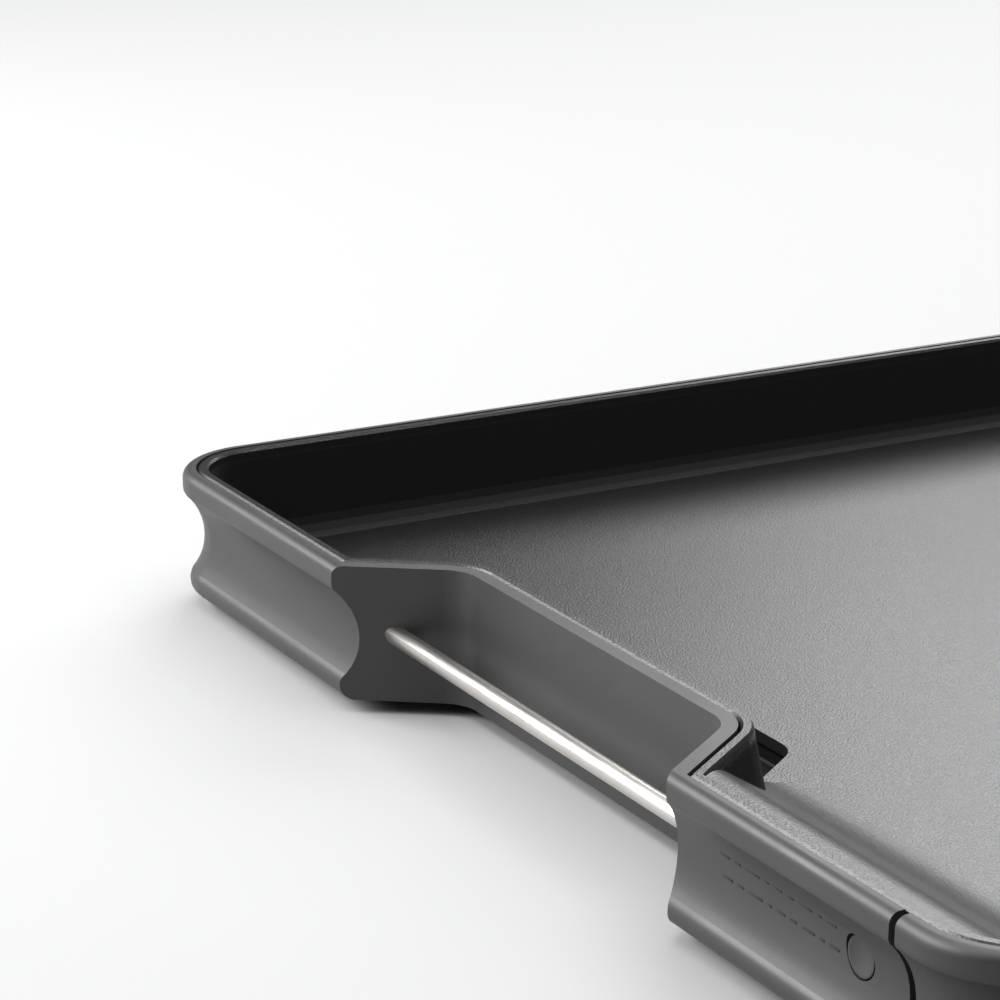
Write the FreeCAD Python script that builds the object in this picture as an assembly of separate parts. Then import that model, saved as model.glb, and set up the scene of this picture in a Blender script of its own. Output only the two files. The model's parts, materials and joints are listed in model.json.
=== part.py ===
import FreeCAD, Part
import math
import os

from FreeCAD import Vector

# Electric griddle: a dark cast-look frame with a scooped outer face, a lift-out
# non-stick plate, a bare steel rod in each end recess, a corner drip drawer and
# a plug-in temperature control in the front recess.
# Frame: origin under the middle of the griddle on the worktop, +X along the long
# side, +Y to the back, +Z up.  Millimetres.

# ---------------------------------------------------------------- overall sizes
LENGTH = 600.0            # long side, nose to nose
WIDTH = 390.0             # short side, nose to nose
FRAME_HEIGHT = 36.0       # height of the frame itself
GROUND_GAP = 3.6          # worktop to the underside of the frame
CORNER_RADIUS = 25.0      # plan radius of the nose at the four corners

# ---------------------------------------------------------------- frame section
NOSE_RADIUS = 2.6         # rounding on top of the nose
NOSE_FACE = 2.7           # height of the flat band under it
COVE_DEPTH = 5.7          # how deep the scoop is cut
LIP_SETBACK = 1.4         # lower lip behind the nose
LAND_WIDTH = 3.8          # nose to the edge of the plate rebate
LEDGE_WIDTH = 2.2         # ledge that the rim of the plate rests on
FRAME_WALL = 9.2          # nose to the inner face low down
REBATE_DEPTH = 3.2        # rim of the plate sits this deep

# ---------------------------------------------------------------- handle recess
RECESS_OPENING = 162.0    # along the end, at the nose
RECESS_INNER = 122.0      # along the end, at the bottom of the recess
RECESS_DEPTH = 28.0       # from the nose inward
RECESS_RADIUS = 11.0      # plan radius in its two inner corners
EDGE_RADIUS = 1.2         # plan radius where a recess meets the outer face
ROD_RADIUS = 2.5          # stainless handle rod
ROD_SETBACK = 13.5        # nose to the rod's axis
ROD_HEIGHT = 17.9         # underside of the frame to the rod's axis
ROD_ENGAGEMENT = 7.5      # length of rod held in each wall
ROD_FIT = 0.05            # radial clearance of rod and pins in their holes
PIN_RADIUS = 1.25         # cross pin that keeps the rod

# ---------------------------------------------------------------- control recess
CONTROL_X = 172.0         # middle of the front recess
NOTCH_OPENING = 128.0
NOTCH_INNER = 116.0
NOTCH_DEPTH = 48.0
NOTCH_RADIUS = 8.0

# ---------------------------------------------------------------- plate
PLATE_GAP = 0.5           # shadow gap between frame and plate rim
RIM_WIDTH = 2.9           # flat rim of the plate
RIM_THICKNESS = 3.2
PLATE_WALL = 1.4          # side wall, measured level
PLATE_FLOOR = 3.0         # floor thickness
COOKING_HEIGHT = 10.0     # underside of the frame to the cooking surface
WALL_DRAFT = 11.0         # degrees from upright
FLOOR_RADIUS = 6.0        # wall to floor
RIM_EASE = 0.7            # eased edge of the rim
RAMP_DROP = 0.6           # ramp beside the slot starts this far below the rim
RAMP_START = 12.5         # nose to the top edge of the ramp
RAMP_FOOT = 50.5          # nose to where the ramp's slope would meet the floor
RAMP_CREST_RADIUS = 14.0  # rounding at the top of the ramp
RAMP_FOOT_RADIUS = 30.0   # rounding at its foot
RAMP_TO_SLOT = 1.0        # end of the ramp to the end of the slot

# ---------------------------------------------------------------- drain slot
SLOT_SETBACK = 18.5       # recess wall to the near edge of the slot
SLOT_WIDTH = 22.5
SLOT_LENGTH = 86.0        # along its near edge
SLOT_RADIUS = 9.0         # plan radius of its two inner corners
SLOT_CORNER = 3.0         # plan radius of the two by the recess

# ---------------------------------------------------------------- base
PAN_THICKNESS = 0.8
PAN_DROP = 0.2            # top of the base pan below the frame's underside
FIT_GAP = 0.4             # general side clearance
FOOT_RADIUS = 8.0
FOOT_STEM = 2.6
FOOT_INSET_X = 23.0       # nose to foot axis
FOOT_INSET_Y = 23.0
SCREW_RADIUS = 1.5
SCREW_HEAD = 3.0
SCREW_HEAD_HEIGHT = 1.4
BOSS_RADIUS = 4.0
BOSS_INSET = 13.4         # nose to boss axis
BOSS_FROM_CORNER = 55.0   # end of the griddle to a boss on the short side

# ---------------------------------------------------------------- heater
ELEMENT_RADIUS = 2.1
ELEMENT_CLEARANCE = 0.3   # sheath to plate underside
ELEMENT_INSET_LEFT = 122.0   # nose to the run at the drawer end
ELEMENT_INSET_RIGHT = 64.0   # nose to the run at the other end
ELEMENT_INSET_BACK = 83.0
ELEMENT_INSET_FRONT = 91.0
ELEMENT_BEND = 16.0
TERMINAL_SPREAD = 18.0    # probe axis to each terminal pin
TERMINAL_RADIUS = 1.9
TERMINAL_TIP = 13.0       # pin beyond the recess wall
REFLECTOR_THICKNESS = 0.6
REFLECTOR_LIFT = 1.0      # above the base pan
CLIP_LENGTH = 8.0
CLIP_WALL = 1.6

# ---------------------------------------------------------------- drawer
SEAM = 2.0                # visible gap beside the drawer front
SEAM_Y = 33.0             # end of the griddle to the seam on the short side
SEAM_X = 86.0             # end of the griddle to the seam on the long side
CARRIER_WIDTH = 35.0
CARRIER_FLOOR = 0.8
CARRIER_WALL = 1.2
CARRIER_SIDE = 3.0        # height of its side walls over its floor
CARRIER_FLANGE = 2.4      # front flange, screwed to the drawer front
DRAWER_SCREW_RADIUS = 0.9
DRAWER_SCREW_BITE = 4.0
TRAY_MARGIN = 3.0         # tray beyond the slot on each side
TRAY_SHEET = 0.6
TRAY_TOP_GAP = 0.6        # tray rim to plate underside
RAIL_THICKNESS = 1.6
DRAWER_BACK = 8.0         # carrier beyond the far end of the slot
DRAWER_TRAVEL = 200.0
RUN_GAP = 0.4             # running clearance under and beside the carrier

# ---------------------------------------------------------------- button
BUTTON_RADIUS = 4.6
BUTTON_FROM_SEAM = 16.5
BUTTON_HEIGHT = 18.9      # above the underside of the frame
BUTTON_SETBACK = 5.6      # nose to the face of the button
BUTTON_THICKNESS = 1.0
BUTTON_TRAVEL = 0.7
BUTTON_GAP = 0.35
TONGUE_THICKNESS = 1.0
SPRING_SHEET = 0.25

# ---------------------------------------------------------------- plug-in control
CONTROL_LENGTH = 84.0
CONTROL_DEPTH = 37.0
CONTROL_WALL = 1.8
CONTROL_SPLIT = 20.0      # height of the joint between its two shells
CONTROL_TOP = 31.0
CONTROL_GROUND = 4.4      # worktop to its underside
CONTROL_SOCKET_GAP = 0.8  # guard to the control's face
GUARD_LENGTH = 5.4
GUARD_WALL = 1.6
DIAL_RADIUS = 16.0
DIAL_HEIGHT = 7.4
DIAL_GAP = 0.4
SHAFT_RADIUS = 2.8
PROBE_RADIUS = 1.9
PROBE_REACH = 44.0        # beyond the control's face
SLEEVE_WALL = 0.8
GLAND_RADIUS = 6.0
GLAND_BORE = 3.2
LENS_RADIUS = 2.6

# ---------------------------------------------------------------- derived levels
HALF_X = LENGTH / 2
HALF_Y = WIDTH / 2
Z_BOTTOM = GROUND_GAP
Z_TOP = Z_BOTTOM + FRAME_HEIGHT
Z_LEDGE = Z_TOP - RIM_THICKNESS
Z_FLOOR = Z_BOTTOM + COOKING_HEIGHT
Z_UNDER = Z_FLOOR - PLATE_FLOOR
Z_PAN_TOP = Z_BOTTOM - PAN_DROP
Z_PAN = Z_PAN_TOP - PAN_THICKNESS
Z_ELEMENT = Z_UNDER - ELEMENT_CLEARANCE - ELEMENT_RADIUS
Z_REFLECTOR = Z_PAN_TOP + REFLECTOR_LIFT
Z_ROD = Z_BOTTOM + ROD_HEIGHT
Z_BUTTON = Z_BOTTOM + BUTTON_HEIGHT
PLATE_EDGE = LAND_WIDTH + PLATE_GAP
RIM_INNER = PLATE_EDGE + RIM_WIDTH
LEDGE_INNER = LAND_WIDTH + LEDGE_WIDTH
DRAFT = math.tan(math.radians(WALL_DRAFT))
SLOT_X = -HALF_X + RECESS_DEPTH + SLOT_SETBACK + SLOT_WIDTH / 2
NOTCH_Y = -HALF_Y + NOTCH_DEPTH
RECESS_SLOPE = (RECESS_OPENING - RECESS_INNER) / 2 / RECESS_DEPTH
ELEMENT_LEFT = -HALF_X + ELEMENT_INSET_LEFT
ELEMENT_RIGHT = HALF_X - ELEMENT_INSET_RIGHT
ELEMENT_BACK = HALF_Y - ELEMENT_INSET_BACK
ELEMENT_FRONT = -HALF_Y + ELEMENT_INSET_FRONT


# ---------------------------------------------------------------- plan outline
def plan_corners():
    """Corners of the griddle seen from above: x, y, plan radius, outward or not."""
    mouth, inner = RECESS_OPENING / 2, RECESS_INNER / 2
    left, right = CONTROL_X - NOTCH_OPENING / 2, CONTROL_X + NOTCH_OPENING / 2
    slant = (NOTCH_OPENING - NOTCH_INNER) / 2
    deep = HALF_X - RECESS_DEPTH
    return [
        (-HALF_X, -HALF_Y, CORNER_RADIUS, True),
        (left, -HALF_Y, EDGE_RADIUS, True),
        (left + slant, NOTCH_Y, NOTCH_RADIUS, False),
        (right - slant, NOTCH_Y, NOTCH_RADIUS, False),
        (right, -HALF_Y, EDGE_RADIUS, True),
        (HALF_X, -HALF_Y, CORNER_RADIUS, True),
        (HALF_X, -mouth, EDGE_RADIUS, True),
        (deep, -inner, RECESS_RADIUS, False),
        (deep, inner, RECESS_RADIUS, False),
        (HALF_X, mouth, EDGE_RADIUS, True),
        (HALF_X, HALF_Y, CORNER_RADIUS, True),
        (-HALF_X, HALF_Y, CORNER_RADIUS, True),
        (-HALF_X, mouth, EDGE_RADIUS, True),
        (-deep, inner, RECESS_RADIUS, False),
        (-deep, -inner, RECESS_RADIUS, False),
        (-HALF_X, -mouth, EDGE_RADIUS, True),
    ]


def crossing(a, da, b, db):
    """Where the line through a along da meets the line through b along db."""
    det = da[0] * db[1] - da[1] * db[0]
    t = ((b[0] - a[0]) * db[1] - (b[1] - a[1]) * db[0]) / det
    return (a[0] + t * da[0], a[1] + t * da[1])


def outline(corners, inset, z, least=0.6):
    """Closed wire: the outline moved inward by inset, with its corners rounded."""
    count = len(corners)
    lines = []
    for i in range(count):
        ax, ay = corners[i][:2]
        bx, by = corners[(i + 1) % count][:2]
        size = math.hypot(bx - ax, by - ay)
        dx, dy = (bx - ax) / size, (by - ay) / size
        lines.append(((ax - dy * inset, ay + dx * inset), (dx, dy)))
    spans = []
    for i in range(count):
        (p, dp), (q, dq) = lines[i - 1], lines[i]
        x, y = crossing(p, dp, q, dq)
        radius = corners[i][2]
        radius = max(radius - inset, least) if corners[i][3] else radius + inset
        half = math.acos(max(-1.0, min(1.0, dp[0] * dq[0] + dp[1] * dq[1]))) / 2
        cut = radius * math.tan(half)
        start = Vector(x - dp[0] * cut, y - dp[1] * cut, z)
        end = Vector(x + dq[0] * cut, y + dq[1] * cut, z)
        bx, by = dq[0] - dp[0], dq[1] - dp[1]
        size = math.hypot(bx, by)
        reach = radius / math.cos(half) - radius
        middle = Vector(x + bx / size * reach, y + by / size * reach, z)
        spans.append((start, middle, end))
    edges = []
    for i in range(count):
        start, middle, end = spans[i]
        edges.append(Part.Arc(start, middle, end).toShape())
        edges.append(Part.LineSegment(end, spans[(i + 1) % count][0]).toShape())
    return Part.Wire(edges)


def prism(corners, inset, z0, z1):
    """Upright solid on the inset outline."""
    face = Part.Face(outline(corners, inset, z0))
    return face.extrude(Vector(0, 0, z1 - z0))


def stack(corners, stations):
    """Solid through (inset, z) stations, ruled from each to the next."""
    solids = []
    for (i0, z0), (i1, z1) in zip(stations, stations[1:]):
        if abs(i0 - i1) < 1e-6:
            solids.append(prism(corners, i0, z0, z1))
        else:
            wires = [outline(corners, i0, z0), outline(corners, i1, z1)]
            solids.append(Part.makeLoft(wires, True, True))
    return solids[0].fuse(solids[1:]) if len(solids) > 1 else solids[0]


# ---------------------------------------------------------------- small shapes
def box(x0, x1, y0, y1, z0, z1):
    return Part.makeBox(x1 - x0, y1 - y0, z1 - z0, Vector(x0, y0, z0))


def post(x, y, z0, z1, radius):
    return Part.makeCylinder(radius, z1 - z0, Vector(x, y, z0), Vector(0, 0, 1))


def rod_y(x, z, y0, y1, radius):
    return Part.makeCylinder(radius, y1 - y0, Vector(x, y0, z), Vector(0, 1, 0))


def rod_x(y, z, x0, x1, radius):
    return Part.makeCylinder(radius, x1 - x0, Vector(x0, y, z), Vector(1, 0, 0))


def rounded_box(x0, x1, y0, y1, z0, z1, radius):
    """Box with its four upright edges rounded."""
    solid = box(x0, x1, y0, y1, z0, z1)
    upright = [e for e in solid.Edges if abs(e.tangentAt(e.FirstParameter).z) > 0.9]
    return solid.makeFillet(radius, upright)


def joined(shapes):
    shapes = list(shapes)
    return shapes[0].fuse(shapes[1:]) if len(shapes) > 1 else shapes[0]


def group(shapes):
    return Part.Compound(list(shapes))


# ---------------------------------------------------------------- frame
def cove_profile(x_inner):
    """Section of the outer wall in the XZ plane, nose at x = 0, inward is +x."""
    top, low = FRAME_HEIGHT, 0.0
    nose_top = top - NOSE_RADIUS
    nose_low = nose_top - NOSE_FACE
    cove_mid = (nose_low + 7.0) / 2 - 1.2
    bend = NOSE_RADIUS * (1 - math.sqrt(0.5))
    p = lambda d, h: Vector(d, 0, h + Z_BOTTOM)
    edges = [
        Part.LineSegment(p(x_inner, top), p(NOSE_RADIUS, top)),
        Part.Arc(p(NOSE_RADIUS, top), p(bend, top - bend), p(0, nose_top)),
        Part.LineSegment(p(0, nose_top), p(0, nose_low)),
        Part.Arc(p(0, nose_low), p(0.35, nose_low - 1.1), p(1.15, nose_low - 1.9)),
        Part.Arc(p(1.15, nose_low - 1.9), p(COVE_DEPTH, cove_mid), p(2.7, 6.9)),
        Part.Arc(p(2.7, 6.9), p(1.75, 5.6), p(LIP_SETBACK, 3.9)),
        Part.Arc(p(LIP_SETBACK, 3.9), p(2.1, 1.5), p(4.2, low)),
        Part.LineSegment(p(4.2, low), p(x_inner, low)),
        Part.LineSegment(p(x_inner, low), p(x_inner, top)),
    ]
    return Part.Face(Part.Wire([e.toShape() for e in edges]))


def cove_block():
    """Solid rounded rectangle whose whole outer face has the scooped section."""
    reach = CORNER_RADIUS
    face = cove_profile(reach)
    solids = []
    long_run, short_run = LENGTH - 2 * reach, WIDTH - 2 * reach
    for sign in (-1, 1):
        side = face.copy()
        if sign > 0:
            side.rotate(Vector(0, 0, 0), Vector(0, 0, 1), 180)
        side.translate(Vector(sign * HALF_X, -sign * -1 * short_run / 2 * -1, 0))
        solids.append(side.extrude(Vector(0, sign * -short_run * -1, 0)))
    for sign in (-1, 1):
        side = face.copy()
        side.rotate(Vector(0, 0, 0), Vector(0, 0, 1), 90 if sign < 0 else -90)
        side.translate(Vector(-long_run / 2, sign * HALF_Y, 0))
        solids.append(side.extrude(Vector(long_run, 0, 0)))
    for sx in (-1, 1):
        for sy in (-1, 1):
            turn = {(-1, -1): 0, (1, -1): 90, (1, 1): 180, (-1, 1): 270}[(sx, sy)]
            corner = face.copy()
            corner.translate(Vector(-reach, 0, 0))
            solid = corner.revolve(Vector(0, 0, 0), Vector(0, 0, 1), 90)
            solid.rotate(Vector(0, 0, 0), Vector(0, 0, 1), turn)
            solid.translate(Vector(sx * (HALF_X - reach), sy * (HALF_Y - reach), 0))
            solids.append(solid)
    core = box(-long_run / 2, long_run / 2, -short_run / 2, short_run / 2, Z_BOTTOM, Z_TOP)
    return core.fuse(solids).removeSplitter()


def recess_cutters():
    """Upright prisms that open the two handle recesses and the control recess."""
    out = 10.0
    cutters = []
    mouth, inner = RECESS_OPENING / 2, RECESS_INNER / 2
    for sign in (-1, 1):
        wide = mouth + RECESS_SLOPE * out
        corners = [
            (HALF_X + out, -wide, 0.0, True),
            (HALF_X + out, wide, 0.0, True),
            (HALF_X - RECESS_DEPTH, inner, RECESS_RADIUS, True),
            (HALF_X - RECESS_DEPTH, -inner, RECESS_RADIUS, True),
        ]
        solid = prism(corners, 0.0, Z_BOTTOM - 5, Z_TOP + 5)
        if sign < 0:
            solid.rotate(Vector(0, 0, 0), Vector(0, 0, 1), 180)
        cutters.append(solid)
    slant = (NOTCH_OPENING - NOTCH_INNER) / 2
    slope = slant / NOTCH_DEPTH
    corners = [
        (CONTROL_X - NOTCH_OPENING / 2 - slope * out, -HALF_Y - out, 0.0, True),
        (CONTROL_X + NOTCH_OPENING / 2 + slope * out, -HALF_Y - out, 0.0, True),
        (CONTROL_X + NOTCH_INNER / 2, NOTCH_Y, NOTCH_RADIUS, True),
        (CONTROL_X - NOTCH_INNER / 2, NOTCH_Y, NOTCH_RADIUS, True),
    ]
    cutters.append(prism(corners, 0.0, Z_BOTTOM - 5, Z_TOP + 5))
    return cutters


def drawer_zone(gap):
    """Corner block that belongs to the drawer front, grown or shrunk by gap."""
    return box(-HALF_X - 5, -HALF_X + SEAM_X + gap, -HALF_Y - 5, -HALF_Y + SEAM_Y + gap,
               Z_BOTTOM - 5, Z_TOP + 5)


def boss_places():
    """Screw bosses along the inside of the frame."""
    x_in, y_in = HALF_X - BOSS_INSET, HALF_Y - BOSS_INSET
    y_far = HALF_Y - BOSS_FROM_CORNER
    return [
        (-200.0, y_in, 0, 1), (0.0, y_in, 0, 1), (200.0, y_in, 0, 1),
        (-120.0, -y_in, 0, -1), (40.0, -y_in, 0, -1),
        (x_in, y_far, 1, 0), (x_in, -y_far, 1, 0), (-x_in, y_far, -1, 0),
    ]


Z_BOSS_TOP = Z_UNDER - 0.6


def frame_ring():
    """Scooped outer ring with its recesses and the rebate for the plate rim."""
    body = cove_block()
    for cutter in recess_cutters():
        body = body.cut(cutter)
    body = body.cut(prism(plan_corners(), LAND_WIDTH, Z_LEDGE, Z_TOP + 1))
    z_taper = Z_LEDGE - (FRAME_WALL - LEDGE_INNER) / DRAFT
    inside = stack(plan_corners(), [(FRAME_WALL, Z_BOTTOM - 1), (FRAME_WALL, z_taper),
                                    (LEDGE_INNER, Z_LEDGE), (LEDGE_INNER, Z_LEDGE + 0.1)])
    return body.cut(inside)


def main_frame(ring):
    body = ring.cut(drawer_zone(0.0))
    extras = []
    for x, y, nx, ny in boss_places():
        extras.append(post(x, y, Z_PAN_TOP, Z_BOSS_TOP, BOSS_RADIUS))
        wx, wy = x + nx * (BOSS_INSET - FRAME_WALL + 0.8), y + ny * (BOSS_INSET - FRAME_WALL + 0.8)
        half = 1.6
        extras.append(box(min(x, wx) - half * abs(ny), max(x, wx) + half * abs(ny),
                          min(y, wy) - half * abs(nx), max(y, wy) + half * abs(nx),
                          Z_BOTTOM, Z_BOSS_TOP))
    body = body.fuse(extras)
    cuts = []
    for x, y, _, _ in boss_places():
        cuts.append(post(x, y, Z_PAN_TOP - 1, Z_BOSS_TOP - 0.8, SCREW_RADIUS + ROD_FIT))
    for sx in (-1, 1):
        x = sx * (HALF_X - ROD_SETBACK)
        end = rod_half_length()
        cuts.append(rod_y(x, Z_ROD, -end, end, ROD_RADIUS + ROD_FIT))
        for sy in (-1, 1):
            cuts.append(post(x, sy * pin_y(), Z_BOTTOM - 1, Z_ROD, PIN_RADIUS + ROD_FIT))
    cuts.append(rod_x(button_y(), Z_BUTTON, -HALF_X - 2, -HALF_X + FRAME_WALL + 1,
                      BUTTON_RADIUS + BUTTON_GAP))
    for dx in (-TERMINAL_SPREAD, TERMINAL_SPREAD):
        cuts.append(rod_y(CONTROL_X + dx, Z_ELEMENT, NOTCH_Y - 1, NOTCH_Y + FRAME_WALL + 1,
                          TERMINAL_RADIUS + 0.6))
    cuts.append(rod_y(CONTROL_X, Z_ELEMENT, NOTCH_Y - 1, NOTCH_Y + FRAME_WALL + 1,
                      PROBE_RADIUS + 0.6))
    return body.cut(cuts)


# ---------------------------------------------------------------- handle rods
def return_wall_y():
    """Half width of the recess where the rod enters its walls."""
    return RECESS_OPENING / 2 - RECESS_SLOPE * ROD_SETBACK


def rod_half_length():
    return return_wall_y() + ROD_ENGAGEMENT


def pin_y():
    return return_wall_y() + ROD_ENGAGEMENT * 0.6


def handle_rod(sx):
    x = sx * (HALF_X - ROD_SETBACK)
    end = rod_half_length() - 0.2
    rod = rod_y(x, Z_ROD, -end, end, ROD_RADIUS)
    pins = [post(x, sy * pin_y(), Z_ROD - ROD_RADIUS - 1, Z_ROD, PIN_RADIUS + ROD_FIT)
            for sy in (-1, 1)]
    return rod.cut(pins)


def rod_pins():
    return group(post(sx * (HALF_X - ROD_SETBACK), sy * pin_y(), Z_BOTTOM + 0.4, Z_ROD - 0.1,
                      PIN_RADIUS) for sx in (-1, 1) for sy in (-1, 1))


# ---------------------------------------------------------------- plate
def griddle_plate():
    """Pressed and cast tray: flat rim, drafted walls, flat floor and drain slot."""
    corners = plan_corners()
    wall_at = lambda z: RIM_INNER + (Z_TOP - z) * DRAFT
    outer = stack(corners, [(PLATE_EDGE, Z_LEDGE), (PLATE_EDGE, Z_TOP - RIM_EASE),
                            (PLATE_EDGE + RIM_EASE, Z_TOP)])
    shell = stack(corners, [(wall_at(Z_UNDER + 3) - PLATE_WALL + 2.4, Z_UNDER),
                            (wall_at(Z_UNDER + 3) - PLATE_WALL, Z_UNDER + 3),
                            (wall_at(Z_LEDGE) - PLATE_WALL, Z_LEDGE)])
    tangent = 1 - math.sin(math.radians(WALL_DRAFT))
    stations = [(wall_at(Z_FLOOR) + FLOOR_RADIUS * 0.82, Z_FLOOR)]
    for turn in (30.0, 55.0):
        a = math.radians(turn)
        centre = wall_at(Z_FLOOR) + FLOOR_RADIUS * 0.82
        stations.append((centre - FLOOR_RADIUS * math.sin(a),
                         Z_FLOOR + FLOOR_RADIUS * (1 - math.cos(a))))
    top_of_curve = Z_FLOOR + FLOOR_RADIUS * tangent
    stations.append((wall_at(top_of_curve), top_of_curve))
    stations.append((RIM_INNER + RIM_EASE * DRAFT, Z_TOP - RIM_EASE))
    stations.append((RIM_INNER - RIM_EASE * 0.6, Z_TOP + 0.01))
    cavity = stack(corners, stations).cut(drain_ramp())
    return outer.fuse(shell).cut(cavity).cut(drain_slot())


def drain_ramp():
    """Slope from the rim at the drawer corner down to the cooking surface, eased at both ends."""
    crest, foot = -HALF_X + RAMP_START, -HALF_X + RAMP_FOOT
    z_crest = Z_TOP - RAMP_DROP
    y0, y1 = -HALF_Y - 1, -SLOT_LENGTH / 2 - RAMP_TO_SLOT
    fall = math.atan2(z_crest - Z_FLOOR, foot - crest)
    bends = []
    for x, z, radius, side in ((crest, z_crest, RAMP_CREST_RADIUS, -1),
                               (foot, Z_FLOOR, RAMP_FOOT_RADIUS, 1)):
        cut = radius * math.tan(fall / 2)
        level = Vector(x + side * cut, y0, z)
        slope = Vector(x - side * cut * math.cos(fall), y0, z + side * cut * math.sin(fall))
        centre = level + Vector(0, 0, side * radius)
        middle = centre + ((level - centre) + (slope - centre)).normalize() * radius
        bends.append((level, middle, slope))
    (crest_level, crest_middle, crest_slope), (foot_level, foot_middle, foot_slope) = bends
    below, outside = Z_FLOOR - 1, -HALF_X
    edges = [
        Part.Arc(crest_level, crest_middle, crest_slope),
        Part.LineSegment(crest_slope, foot_slope),
        Part.Arc(foot_slope, foot_middle, foot_level),
        Part.LineSegment(foot_level, Vector(foot_level.x, y0, below)),
        Part.LineSegment(Vector(foot_level.x, y0, below), Vector(outside, y0, below)),
        Part.LineSegment(Vector(outside, y0, below), Vector(outside, y0, z_crest)),
        Part.LineSegment(Vector(outside, y0, z_crest), crest_level),
    ]
    face = Part.Face(Part.Wire([edge.toShape() for edge in edges]))
    return face.extrude(Vector(0, y1 - y0, 0))


def drain_slot():
    """Prism of the slot: its ends run parallel to the sides of the hand recess."""
    x0, x1, wide = SLOT_X - SLOT_WIDTH / 2, SLOT_X + SLOT_WIDTH / 2, SLOT_LENGTH / 2
    narrow = wide - RECESS_SLOPE * SLOT_WIDTH
    corners = [
        (x0, -wide, SLOT_CORNER, True),
        (x1, -narrow, SLOT_RADIUS, True),
        (x1, narrow, SLOT_RADIUS, True),
        (x0, wide, SLOT_CORNER, True),
    ]
    return prism(corners, 0.0, Z_UNDER - 2, Z_FLOOR + 1)


# ---------------------------------------------------------------- heater
def element_points():
    left, right = CONTROL_X - TERMINAL_SPREAD, CONTROL_X + TERMINAL_SPREAD
    start = element_start()
    return [(left, start), (left, ELEMENT_FRONT), (ELEMENT_LEFT, ELEMENT_FRONT),
            (ELEMENT_LEFT, ELEMENT_BACK), (ELEMENT_RIGHT, ELEMENT_BACK),
            (ELEMENT_RIGHT, ELEMENT_FRONT), (right, ELEMENT_FRONT), (right, start)]


def element_start():
    return NOTCH_Y + FRAME_WALL + 6.0


def heating_element():
    """Sheathed loop: straight runs joined by tangent bends."""
    points = element_points()
    pieces = []
    ends = [Vector(*points[0], Z_ELEMENT)]
    for i in range(1, len(points) - 1):
        (ax, ay), (bx, by), (cx, cy) = points[i - 1], points[i], points[i + 1]
        u = Vector(ax - bx, ay - by, 0).normalize()
        w = Vector(cx - bx, cy - by, 0).normalize()
        before, after = math.hypot(ax - bx, ay - by), math.hypot(cx - bx, cy - by)
        bend = min(ELEMENT_BEND, 0.45 * before, 0.45 * after)
        corner = Vector(bx, by, Z_ELEMENT)
        centre = corner + u * bend + w * bend
        ends += [corner + u * bend, corner + w * bend]
        ring = Part.makeTorus(bend, ELEMENT_RADIUS, centre, Vector(0, 0, 1))
        reach = bend + ELEMENT_RADIUS + 1
        quarter = centre - (u + w) * reach
        lo = Vector(min(centre.x, quarter.x), min(centre.y, quarter.y), Z_ELEMENT - 5)
        window = Part.makeBox(reach, reach, 10, lo)
        pieces.append(ring.common(window))
    ends.append(Vector(*points[-1], Z_ELEMENT))
    for a, b in zip(ends[0::2], ends[1::2]):
        run = b - a
        pieces.append(Part.makeCylinder(ELEMENT_RADIUS, run.Length, a, run))
    return joined(pieces)


def terminal_pins():
    y0, y1 = NOTCH_Y - TERMINAL_TIP, element_start()
    pins = []
    for dx in (-TERMINAL_SPREAD, TERMINAL_SPREAD):
        pin = rod_y(CONTROL_X + dx, Z_ELEMENT, y0, y1, TERMINAL_RADIUS)
        tip = [e for e in pin.Edges if abs(e.CenterOfMass.y - y0) < 0.01]
        pins.append(pin.makeChamfer(0.7, tip))
    return group(pins)


def terminal_insulator():
    """Ceramic bar just inside the recess wall, around both pins."""
    y0 = NOTCH_Y + FRAME_WALL
    body = box(CONTROL_X - 26, CONTROL_X + 26, y0, y0 + 5, Z_PAN_TOP + 0.6, Z_UNDER - 0.3)
    holes = [rod_y(CONTROL_X + dx, Z_ELEMENT, y0 - 1, y0 + 6, TERMINAL_RADIUS + 0.05)
             for dx in (-TERMINAL_SPREAD, TERMINAL_SPREAD)]
    holes.append(rod_y(CONTROL_X, Z_ELEMENT, y0 - 1, y0 + 6, PROBE_RADIUS + 0.6))
    return body.cut(holes)


def clip_places():
    long_way = [(x, y, True) for y in (ELEMENT_FRONT, ELEMENT_BACK) for x in (-110.0, 0.0, 90.0)]
    short_way = [(x, 0.0, False) for x in (ELEMENT_LEFT, ELEMENT_RIGHT)]
    return long_way + short_way


def element_clips():
    half_len, half_wide = CLIP_LENGTH / 2, ELEMENT_RADIUS + 0.3 + CLIP_WALL
    groove = ELEMENT_RADIUS + 0.3
    z0, z1 = Z_REFLECTOR + REFLECTOR_THICKNESS, Z_ELEMENT + 0.9
    clips = []
    for x, y, along_x in clip_places():
        a, b = (half_len, half_wide) if along_x else (half_wide, half_len)
        c, d = (half_len + 1, groove) if along_x else (groove, half_len + 1)
        block = box(x - a, x + a, y - b, y + b, z0, z1)
        clips.append(block.cut(box(x - c, x + c, y - d, y + d, Z_ELEMENT - groove, z1 + 1)))
    return group(clips)


def reflector_edges():
    return (ELEMENT_LEFT - 12.0, ELEMENT_RIGHT + 12.0, ELEMENT_FRONT - 12.0, ELEMENT_BACK + 20.0)


def reflector_pan():
    """Bright sheet under the element with three turned-up edges."""
    x0, x1, y0, y1 = reflector_edges()
    z0 = Z_REFLECTOR
    t = REFLECTOR_THICKNESS
    sheet = rounded_box(x0, x1, y0, y1, z0, z0 + t, 6.0)
    rise = z0 + 4.4
    edges = [box(x0, x0 + t, y0 + 8, y1 - 8, z0, rise), box(x1 - t, x1, y0 + 8, y1 - 8, z0, rise),
             box(x0 + 8, x1 - 8, y1 - t, y1, z0, rise)]
    return sheet.fuse(edges)


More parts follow.
